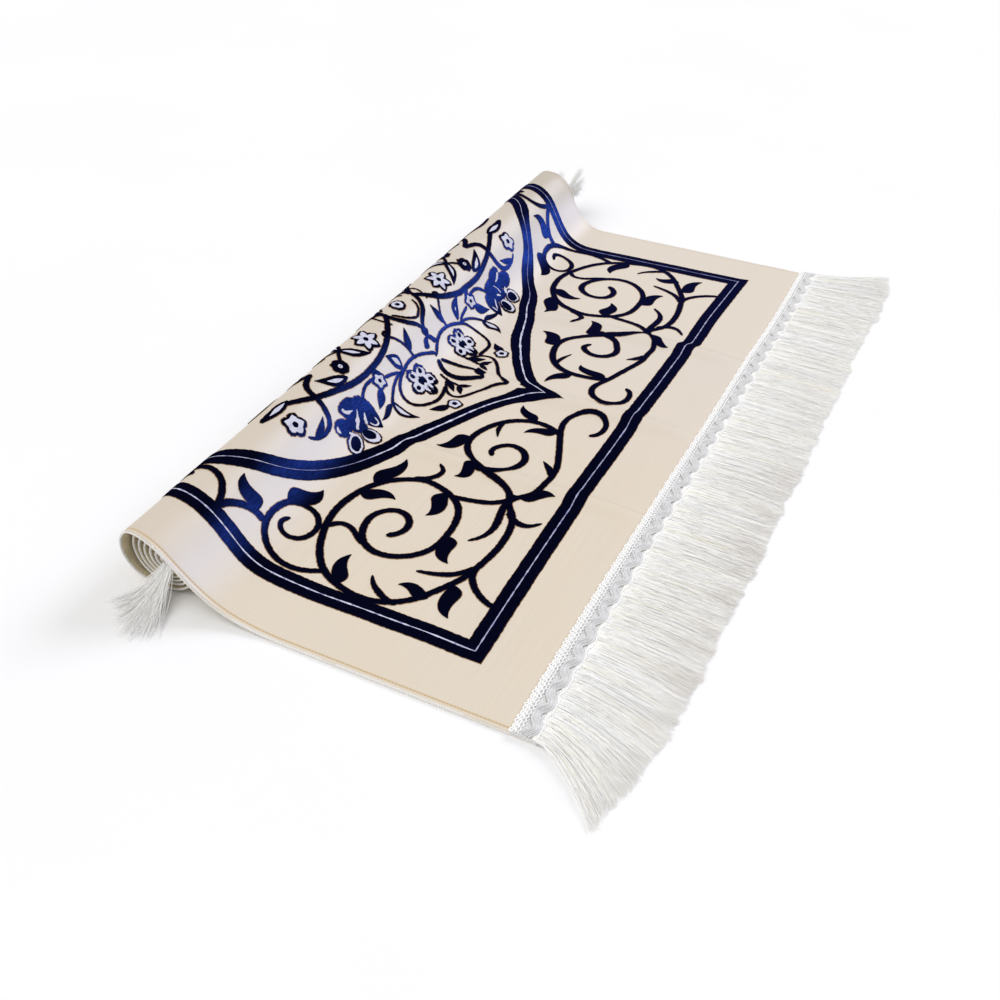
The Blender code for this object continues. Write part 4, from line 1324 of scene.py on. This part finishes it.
def strands_piece(name, paths, radii, tones, material, kind="fringe_yarn"):
    """Strands as one piece: for each a path of points, a radius at each of them, and a tone."""
    count, steps = paths.shape[:2]
    curve = bpy.data.curves.new(name, "CURVE")
    curve.dimensions = "3D"
    curve.bevel_depth = 1.0
    curve.bevel_resolution = 0
    curve.use_fill_caps = True
    for path, radius in zip(paths, radii):
        spline = curve.splines.new("POLY")
        spline.points.add(steps - 1)
        spline.points.foreach_set("co", np.hstack((path, np.ones((steps, 1)))).ravel())
        spline.points.foreach_set("radius", radius)
    holder = bpy.data.objects.new(name + "_curve", curve)
    bpy.context.scene.collection.objects.link(holder)
    depsgraph = bpy.context.evaluated_depsgraph_get()
    mesh = bpy.data.meshes.new_from_object(holder.evaluated_get(depsgraph))
    bpy.data.objects.remove(holder)
    bpy.data.curves.remove(curve)
    mesh.name = name
    return finish_piece(name, mesh, kind, material,
                        tone=np.repeat(tones, len(mesh.vertices) // count))


STRAND_STEPS = 9
FLOOR_GAP = 0.00005     # left under the strands
LAYERS = 3
BUNDLE = 0.0046         # width of the bundles that the strands draw together in
BUNDLE_SHIFT = 0.0017   # how far a layer's bundles lie beside those of the layer under it
# Top and bottom of the heap of strands, from the tape (share 0) to the tips (share 1).
HEAP_TOP = ((0.0, 0.09, 0.22, 0.45, 0.75, 1.0), (0.0040, 0.0042, 0.0035, 0.0027, 0.0021, 0.0014))
HEAP_BOTTOM = ((0.0, 0.09, 0.22, 0.45, 1.0), (0.0036, 0.0036, 0.0009, 0.0004, 0.0004))


def make_strands(sizes, colours):
    """The open end's strands, in layers that fall from under the braid to the floor."""
    material = yarn_finish("fringe_strands", colours, colours.yarn)
    count = sizes.strands_per_layer
    share = np.linspace(0.0, 1.0, STRAND_STEPS) ** 0.9
    along = share[None, :]
    taper = np.interp(along, (0.0, 0.7, 1.0), (1.0, 0.95, 0.55))
    top, bottom = np.interp(along, *HEAP_TOP), np.interp(along, *HEAP_BOTTOM)
    for layer in range(LAYERS):
        random = np.random.RandomState(50 + layer)
        y0 = np.linspace(-HALF_WIDTH + 0.001, HALF_WIDTH - 0.001, count)
        y0 = y0 + random.uniform(-1, 1, count) * 0.0005
        shift = layer * BUNDLE_SHIFT
        middle = (np.floor((y0 + shift) / BUNDLE) + 0.5) * BUNDLE - shift
        middle = middle + uneven(middle, 0.0012, 410.0, 2.0 + layer)
        pull = 0.20 + 0.45 * random.uniform(0, 1, count)
        swept = corner_sweep(y0) + uneven(y0, **SWAY)
        clump = uneven(middle, 1.0, 300.0, 5.0 + layer)
        lock = uneven(middle, 1.0, 1370.0, 9.0 + 2.0 * layer)
        length = strand_length(y0) * (
            1.006 + 0.020 * clump + 0.017 * lock - 0.048 * random.uniform(0, 1, count) ** 2
            + 0.010 * random.normal(0.0, 1.0, count) + 0.10 * smooth((y0 - 0.23) / 0.12))
        reach = np.sqrt(np.maximum(length ** 2 - swept ** 2, 1e-6))
        stray = random.normal(0.0, 0.0011, count)
        stray = stray * np.where(random.uniform(0, 1, count) < 0.16, 3.2, 1.0)
        wave, phase = random.uniform(0.0001, 0.0010, count), random.uniform(0, 6.28, count)
        start_x = TAPE_WIDTH - 0.0078 + 0.0006 * random.uniform(-1, 1, count)
        x = start_x[:, None] + (TAPE_WIDTH + reach - start_x)[:, None] * along
        y = (y0[:, None] + swept[:, None] * along ** SWEEP_CURVE
             + (middle - y0)[:, None] * pull[:, None] * smooth((along - 0.25) * 1.4)
             + stray[:, None] * along + wave[:, None] * np.sin(phase[:, None] + along * 9.0))
        level = layer / (LAYERS - 1) + 0.25 * random.uniform(-1, 1, count)
        z = bottom + (top - bottom) * np.clip(level, 0.0, 1.0)[:, None]
        lift = 0.0006 * (layer == LAYERS - 1) * random.uniform(0, 1, count) ** 4 * 6
        z = z + lift[:, None] * np.sin(math.pi * along)
        half = sizes.strand_thickness / 2 * random.uniform(0.75, 1.15, count)
        z = np.maximum(z, half[:, None] + FLOOR_GAP)
        paths = np.stack((x - ORIGIN_X, y, z), -1)
        tones = np.clip(0.5 + 0.22 * clump + 0.24 * random.normal(0, 1, count), 0.0, 1.0)
        piece = strands_piece(f"fringe_strands_{layer + 1}", paths, half[:, None] * taper, tones,
                              material)
    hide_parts("end_fringe")


LOOP_PITCH = 0.0037
# Threads of the loops: where each starts, how far it reaches, its height and its radius.
LOOP_ROWS = ((0.0008, 0.0021, 0.0021, 0.00074), (0.0021, 0.0015, 0.0033, 0.00070),
             (0.0040, 0.0014, 0.0040, 0.00062), (0.0060, 0.0012, 0.0041, 0.00050))
LOOP_TONES = (0.5, 0.45, 0.5, 0.4)


def make_tape(colours):
    """The woven tape on the sheet's end, with a row of small loops along its inner edge."""
    shape = bmesh.new()
    under = SOLID_T + PIECE_GAP * 0.2
    top = SOLID_T + PIECE_GAP + TAPE_T
    section = ((0.0004, under), (-0.0002, under + 0.0006), (0.0002, top - 0.0005),
               (0.0012, top), (0.0040, top), (0.0075, top - 0.0001), (0.0110, top),
               (0.0150, top), (0.0190, top - 0.0001), (TAPE_WIDTH - 0.0008, top - 0.0002),
               (TAPE_WIDTH, top - 0.0008), (TAPE_WIDTH, 0.0010),
               (TAPE_LAP + PIECE_GAP, 0.0008), (TAPE_LAP + PIECE_GAP, under))
    count = 380
    verts, numbers = grid_on(shape, count + 1, len(section) + 1)
    for vert, (step, place) in zip(verts, numbers):
        x, z = section[place % len(section)]
        y = -HALF_WIDTH + RUG_WIDTH * step / count
        bow = tape_bow(y) * min(max((0.0150 - x) / 0.0140, 0.0), 1.0)
        vert.co = (x - ORIGIN_X + bow, y, z)
    bmesh.ops.remove_doubles(shape, verts=verts, dist=1e-7)
    bmesh.ops.holes_fill(shape, edges=[edge for edge in shape.edges if edge.is_boundary], sides=0)
    bmesh.ops.recalc_face_normals(shape, faces=shape.faces)
    finish_piece("fringe_tape", mesh_of(shape, "fringe_tape"), "fringe_yarn",
                 tape_finish(colours))
    y = np.linspace(-HALF_WIDTH + 0.001, HALF_WIDTH - 0.001, int(RUG_WIDTH / LOOP_PITCH) * 9)
    paths, radii = [], []
    for start, reach, height, size in LOOP_ROWS:
        turn = (y + start) * math.pi / LOOP_PITCH + 0.25 * np.sin(y * 230.0)
        out = reach * np.abs(np.sin(turn)) ** 0.7 * (1.0 + 0.18 * np.sin(y * 517.0))
        x = start - out + tape_bow(y)
        z = np.full_like(y, height) + 0.00022 * np.cos(turn * 2)
        paths.append(np.stack((x - ORIGIN_X, y, np.maximum(z, SOLID_T + size)), -1))
        radii.append(np.full(len(y), size))
    strands_piece("picot_loops", np.array(paths), radii, LOOP_TONES,
                  yarn_finish("loop_yarn", colours, colours.yarn, 0.55))


BRAID_WAVE = 0.0215     # length of one zigzag
BRAID_LAG = 0.11        # it starts this share of a zigzag before it crosses its middle
BRAID_SWING = 0.0025    # how far it swings to each side
BRAID_BOW = 0.7         # its share of the tape's bow
BRAID_INSET = 0.0015    # left free at both ends of the tape
BRAID_TONES = (0.55, 0.68, 0.30, 0.72, 0.45, 0.70, 0.32, 0.66, 0.50)    # one for each thread


def make_braid(sizes, colours):
    """The silver braid: a flat ribbon of parallel threads that zigzags along the tape, with a
    thin white cord by its side."""
    under = SOLID_T + PIECE_GAP + TAPE_T + PIECE_GAP
    half_run = HALF_WIDTH - BRAID_INSET
    waves = 2 * half_run / BRAID_WAVE
    y = np.linspace(-half_run, half_run, round(waves * 16))
    phase = 2 * math.pi * ((y + half_run) / BRAID_WAVE - BRAID_LAG)
    middle = TAPE_WIDTH / 2 + BRAID_BOW * tape_bow(y)
    swing = BRAID_SWING * (np.sin(phase) + 0.06 * np.sin(3 * phase))
    slope = BRAID_SWING * 2 * math.pi / BRAID_WAVE * np.cos(phase)
    size = sizes.braid_thread / 2
    paths, radii = [], []
    for number in range(len(BRAID_TONES)):
        place = number - (len(BRAID_TONES) - 1) / 2
        offset = place * size * 1.72
        x = middle + swing + offset * (1.0 - 0.10 * np.sin(phase) ** 2)
        z = (under + size * 0.9 + 0.00018 * np.sin(phase + 0.4 * place)
             + 0.00010 * np.sin(y * 1900.0 + number))
        paths.append(np.stack((x - ORIGIN_X, y - offset * slope * 0.75, z), -1))
        radii.append(size * (0.94 + 0.10 * np.sin(y * 2600.0 + 2.1 * number)))
    piece = strands_piece("silver_braid_threads", np.array(paths), radii, BRAID_TONES,
                          silver_finish(colours), "silver_braid")
    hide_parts("header_braid")
    loops = 0.0019 * np.clip(-np.sin(phase + 0.5), -0.2, 1.0) ** 2
    cord = np.stack((middle + 0.0061 - loops - ORIGIN_X, y, np.full_like(y, under + 0.00045)), -1)
    strands_piece("braid_cord", cord[None], np.full((1, len(y)), 0.00055), (0.5,),
                  yarn_finish("cord_yarn", colours, colours.yarn, 0.55))


TUFT_TURNS = 0.36       # how far the tape in the core goes round
TUFT_STEPS = 10
TUFT_REACH = 0.3925     # no tip lies farther from the rug's middle line
CORE_TAPE_T = 0.0011
# The strands at each end of the roll: which side, where their locks end, how many of them as a
# share, how the tips scatter, how much shorter the shortest is, how they leave, and their tone.
TUFTS = {
    "near": dict(side=-1, tips=NEAR_TIPS, share=1.0, scatter=(0.0026, 0.0028, 0.0012),
                 shorter=0.24, leave=(0.0, -0.012, -0.010), tone=0.40),
    "far": dict(side=1, tips=FAR_TIPS, share=1.7, scatter=(0.0022, 0.0022, 0.0018),
                shorter=0.12, leave=(0.0, 0.012, -0.002), tone=0.50),
}


def make_tufts(sizes, colours):
    """The wound end's tape in the core, and the strands that hang out of both ends of the roll."""
    start = ROLL_TURNS + 0.012
    shape = bmesh.new()
    turns = np.linspace(start, start + TUFT_TURNS, 14)
    verts, numbers = grid_on(shape, 2, len(turns))
    for vert, (side, step) in zip(verts, numbers):
        end = ("near", "far")[side]
        x, z = turn_point(end, turns[step])
        vert.co = (x - ORIGIN_X, (side * 2 - 1) * HALF_WIDTH + slip_at(ROLL_TURNS), z)
    tape = finish_piece("core_tape", mesh_of(shape, "core_tape"), "fringe_yarn",
                        tape_finish(colours))
    thicken(tape, CORE_TAPE_T)
    material = yarn_finish("tuft_strands", colours, shade(colours.yarn, 0.98))
    for end, tuft in TUFTS.items():
        random = np.random.RandomState(70 + len(end))
        count = round(sizes.tuft_strands * tuft["share"])
        tips, side = tuft["tips"], tuft["side"]
        roots, ends = [], []
        for share in np.sort(random.uniform(0.02, 0.98, count)):
            x, z = turn_point(end, start + TUFT_TURNS * share)
            roots.append((x, side * (HALF_WIDTH - 0.002) + slip_at(ROLL_TURNS), z))
            lock = round(share * len(tips) - 0.5 + random.normal(0.0, 0.16))
            ends.append((*tips[min(max(lock, 0), len(tips) - 1)], 0.0006)[:3])
        roots, ends = np.array(roots), np.array(ends)
        spread = random.normal(0.0, 1.0, (count, 3)) * tuft["scatter"]
        short = random.uniform(0.0, 1.0, (count, 1)) ** 2 * tuft["shorter"]
        ends = ends + spread
        ends = ends + (roots - ends) * short
        ends[:, 1] = side * np.minimum(np.abs(ends[:, 1]), TUFT_REACH)
        out = tuft["leave"] + random.normal(0.0, 1.0, (count, 3)) * (0.0035, 0.0, 0.0015)
        back = roots - ends
        if end == "near":
            ends[:, 2] = 0.0004 + np.abs(spread[:, 2]) * 0.8
            back[:, 2] = 0.0
        back = back / np.linalg.norm(back, axis=1, keepdims=True) * 0.014
        share = np.linspace(0.0, 1.0, TUFT_STEPS)[None, :, None]
        paths = bezier(roots[:, None], (roots + out)[:, None], (ends + back)[:, None],
                       ends[:, None], share)
        paths = paths + random.normal(0.0, 1.0, (count, 1, 3)) * 0.0006 * np.sin(math.pi * share)
        paths[..., 0] -= ORIGIN_X
        half = sizes.strand_thickness / 2 * random.uniform(0.6, 1.0, count)
        paths[..., 2] = np.maximum(paths[..., 2], half[:, None] + FLOOR_GAP)
        taper = np.interp(share[0, :, 0], (0.0, 0.7, 1.0), (1.0, 0.9, 0.45))
        tones = np.clip(random.normal(tuft["tone"], 0.22, count), 0.0, 1.0)
        piece = strands_piece(f"roll_tuft_{end}", paths, half[:, None] * taper[None, :], tones,
                              material)
        if end == "near":
            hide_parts("inner_fringe")


# --- stage --------------------------------------------------------------------------------
FLOOR_COLOUR = (0.90, 0.90, 0.90)
CAMERA_AT = (0.2892, -0.7477, 0.5167)
CAMERA_TURN = dict(azimuth=25.53, elevation=37.72, roll=1.06)
LENS = 39.59
SUNS = (
    dict(name="key_light", strength=0.50, angle=60.0, toward=(-0.35, -0.45, 0.82),
         colour=(1.0, 0.985, 0.96)),
    dict(name="sheen_light", strength=0.45, angle=30.0, toward=(0.38, 0.77, 0.50),
         colour=(0.86, 0.88, 1.0)),
)
AMBIENT = (0.50, 0.50, 0.51)


def make_stage():
    """A plain pale floor, soft lights, and the camera at the photo's angle."""
    shape = bmesh.new()
    bmesh.ops.create_grid(shape, x_segments=1, y_segments=1, size=6.0)
    mesh = mesh_of(shape, "studio_floor")
    floor = bpy.data.objects.new("studio_floor", mesh)
    bpy.context.scene.collection.objects.link(floor)
    mesh.materials.append(floor_finish())
    for row in SUNS:
        light = bpy.data.lights.new(row["name"], "SUN")
        light.energy = row["strength"] * math.pi
        light.angle = math.radians(row["angle"])
        light.color = row["colour"]
        lamp = bpy.data.objects.new(row["name"], light)
        lamp.rotation_euler = Vector(row["toward"]).to_track_quat("Z", "Y").to_euler()
        bpy.context.scene.collection.objects.link(lamp)
    scene = bpy.context.scene
    world = bpy.data.worlds.new("soft_surround")
    world.use_nodes = True
    world.node_tree.nodes["Background"].inputs["Color"].default_value = (*AMBIENT, 1.0)
    scene.world = world
    azimuth, elevation, roll = (math.radians(angle) for angle in CAMERA_TURN.values())
    right = Vector((math.cos(azimuth), math.sin(azimuth), 0.0))
    back = Vector((right.y * math.cos(elevation), -right.x * math.cos(elevation),
                   math.sin(elevation)))
    up = back.cross(right)
    turned_right = math.cos(roll) * right + math.sin(roll) * up
    turned_up = math.cos(roll) * up - math.sin(roll) * right
    camera = bpy.data.cameras.new("photo_camera")
    camera.lens = LENS
    camera.sensor_width = 36.0
    camera.clip_start = 0.01
    eye = bpy.data.objects.new("photo_camera", camera)
    turn = Matrix((turned_right, turned_up, back)).transposed().to_4x4()
    eye.matrix_world = Matrix.Translation(CAMERA_AT) @ turn
    scene.collection.objects.link(eye)
    scene.camera = eye
    scene.view_settings.view_transform = "Standard"


# --- operators ------------------------------------------------------------------------------
class RugStep(bpy.types.Operator):
    """One step of dressing the rug"""
    bl_options = {"REGISTER", "UNDO"}

    def execute(self, context):
        self.make(context.scene.rug_sizes, context.scene.rug_colours)
        return {"FINISHED"}


class RUG_OT_sheet(RugStep):
    """Lays the satin sheet on its folds and turns, and binds its side edges"""
    bl_idname = "rug.sheet"
    bl_label = "Satin sheet"

    def make(self, sizes, colours):
        make_sheet(sizes, colours)
        make_binding(sizes, colours)


class RUG_OT_ornament(RugStep):
    """Draws the pile frame, the arch, the corner scrolls and the flowered field"""
    bl_idname = "rug.ornament"
    bl_label = "Pile ornament"

    def make(self, sizes, colours):
        pile = pile_finish(colours)
        bands, lines = make_bands(sizes)
        laid_piece(bands, "pile_bands", pile)
        laid_piece(lines, "pale_lines",
                   thread_finish(colours, "line_thread", colours.thread, 0.85))
        laid_piece(make_scrolls(sizes), "pile_scrolls", pile)
        dark, pale, heart = make_field(sizes)
        laid_piece(dark, "pile_flowers", pile)
        laid_piece(pale, "pale_petals",
                   thread_finish(colours, "petal_thread", colours.petal, 0.25))
        laid_piece(heart, "flower_hearts", pile_finish(colours, "heart_pile", 0.35))


class RUG_OT_fringe(RugStep):
    """Makes the open end's tape, its loops and its layers of strands"""
    bl_idname = "rug.fringe"
    bl_label = "Open end's fringe"

    def make(self, sizes, colours):
        make_tape(colours)
        make_strands(sizes, colours)


class RUG_OT_braid(RugStep):
    """Makes the silver braid on the tape"""
    bl_idname = "rug.braid"
    bl_label = "Silver braid"

    def make(self, sizes, colours):
        make_braid(sizes, colours)


class RUG_OT_tufts(RugStep):
    """Makes the strands that hang out of both ends of the roll"""
    bl_idname = "rug.tufts"
    bl_label = "Wound end's fringe"

    def make(self, sizes, colours):
        make_tufts(sizes, colours)


class RUG_OT_stage(RugStep):
    """Sets up the floor, the lights and the camera"""
    bl_idname = "rug.stage"
    bl_label = "Stage"

    def make(self, _sizes, _colours):
        make_stage()


STEPS = (RUG_OT_stage, RUG_OT_sheet, RUG_OT_ornament, RUG_OT_fringe, RUG_OT_braid, RUG_OT_tufts)


class RUG_PT_panel(bpy.types.Panel):
    """The rug's sizes, colours and steps"""
    bl_idname = "RUG_PT_panel"
    bl_label = "Prayer rug"
    bl_space_type = "VIEW_3D"
    bl_region_type = "UI"
    bl_category = "Rug"

    def draw(self, context):
        for step in STEPS:
            self.layout.operator(step.bl_idname)
        for group in (context.scene.rug_sizes, context.scene.rug_colours):
            box = self.layout.box()
            for name in group.__annotations__:
                box.prop(group, name)


CLASSES = (RugSizes, RugColours, *STEPS, RUG_PT_panel)


def register():
    for item in CLASSES:
        bpy.utils.register_class(item)
    bpy.types.Scene.rug_sizes = bpy.props.PointerProperty(type=RugSizes)
    bpy.types.Scene.rug_colours = bpy.props.PointerProperty(type=RugColours)


def unregister():
    del bpy.types.Scene.rug_colours
    del bpy.types.Scene.rug_sizes
    for item in reversed(CLASSES):
        bpy.utils.unregister_class(item)


def main():
    register()
    for step in STEPS:
        group, name = step.bl_idname.split(".")
        getattr(getattr(bpy.ops, group), name)()


if __name__ == "__main__":
    main()
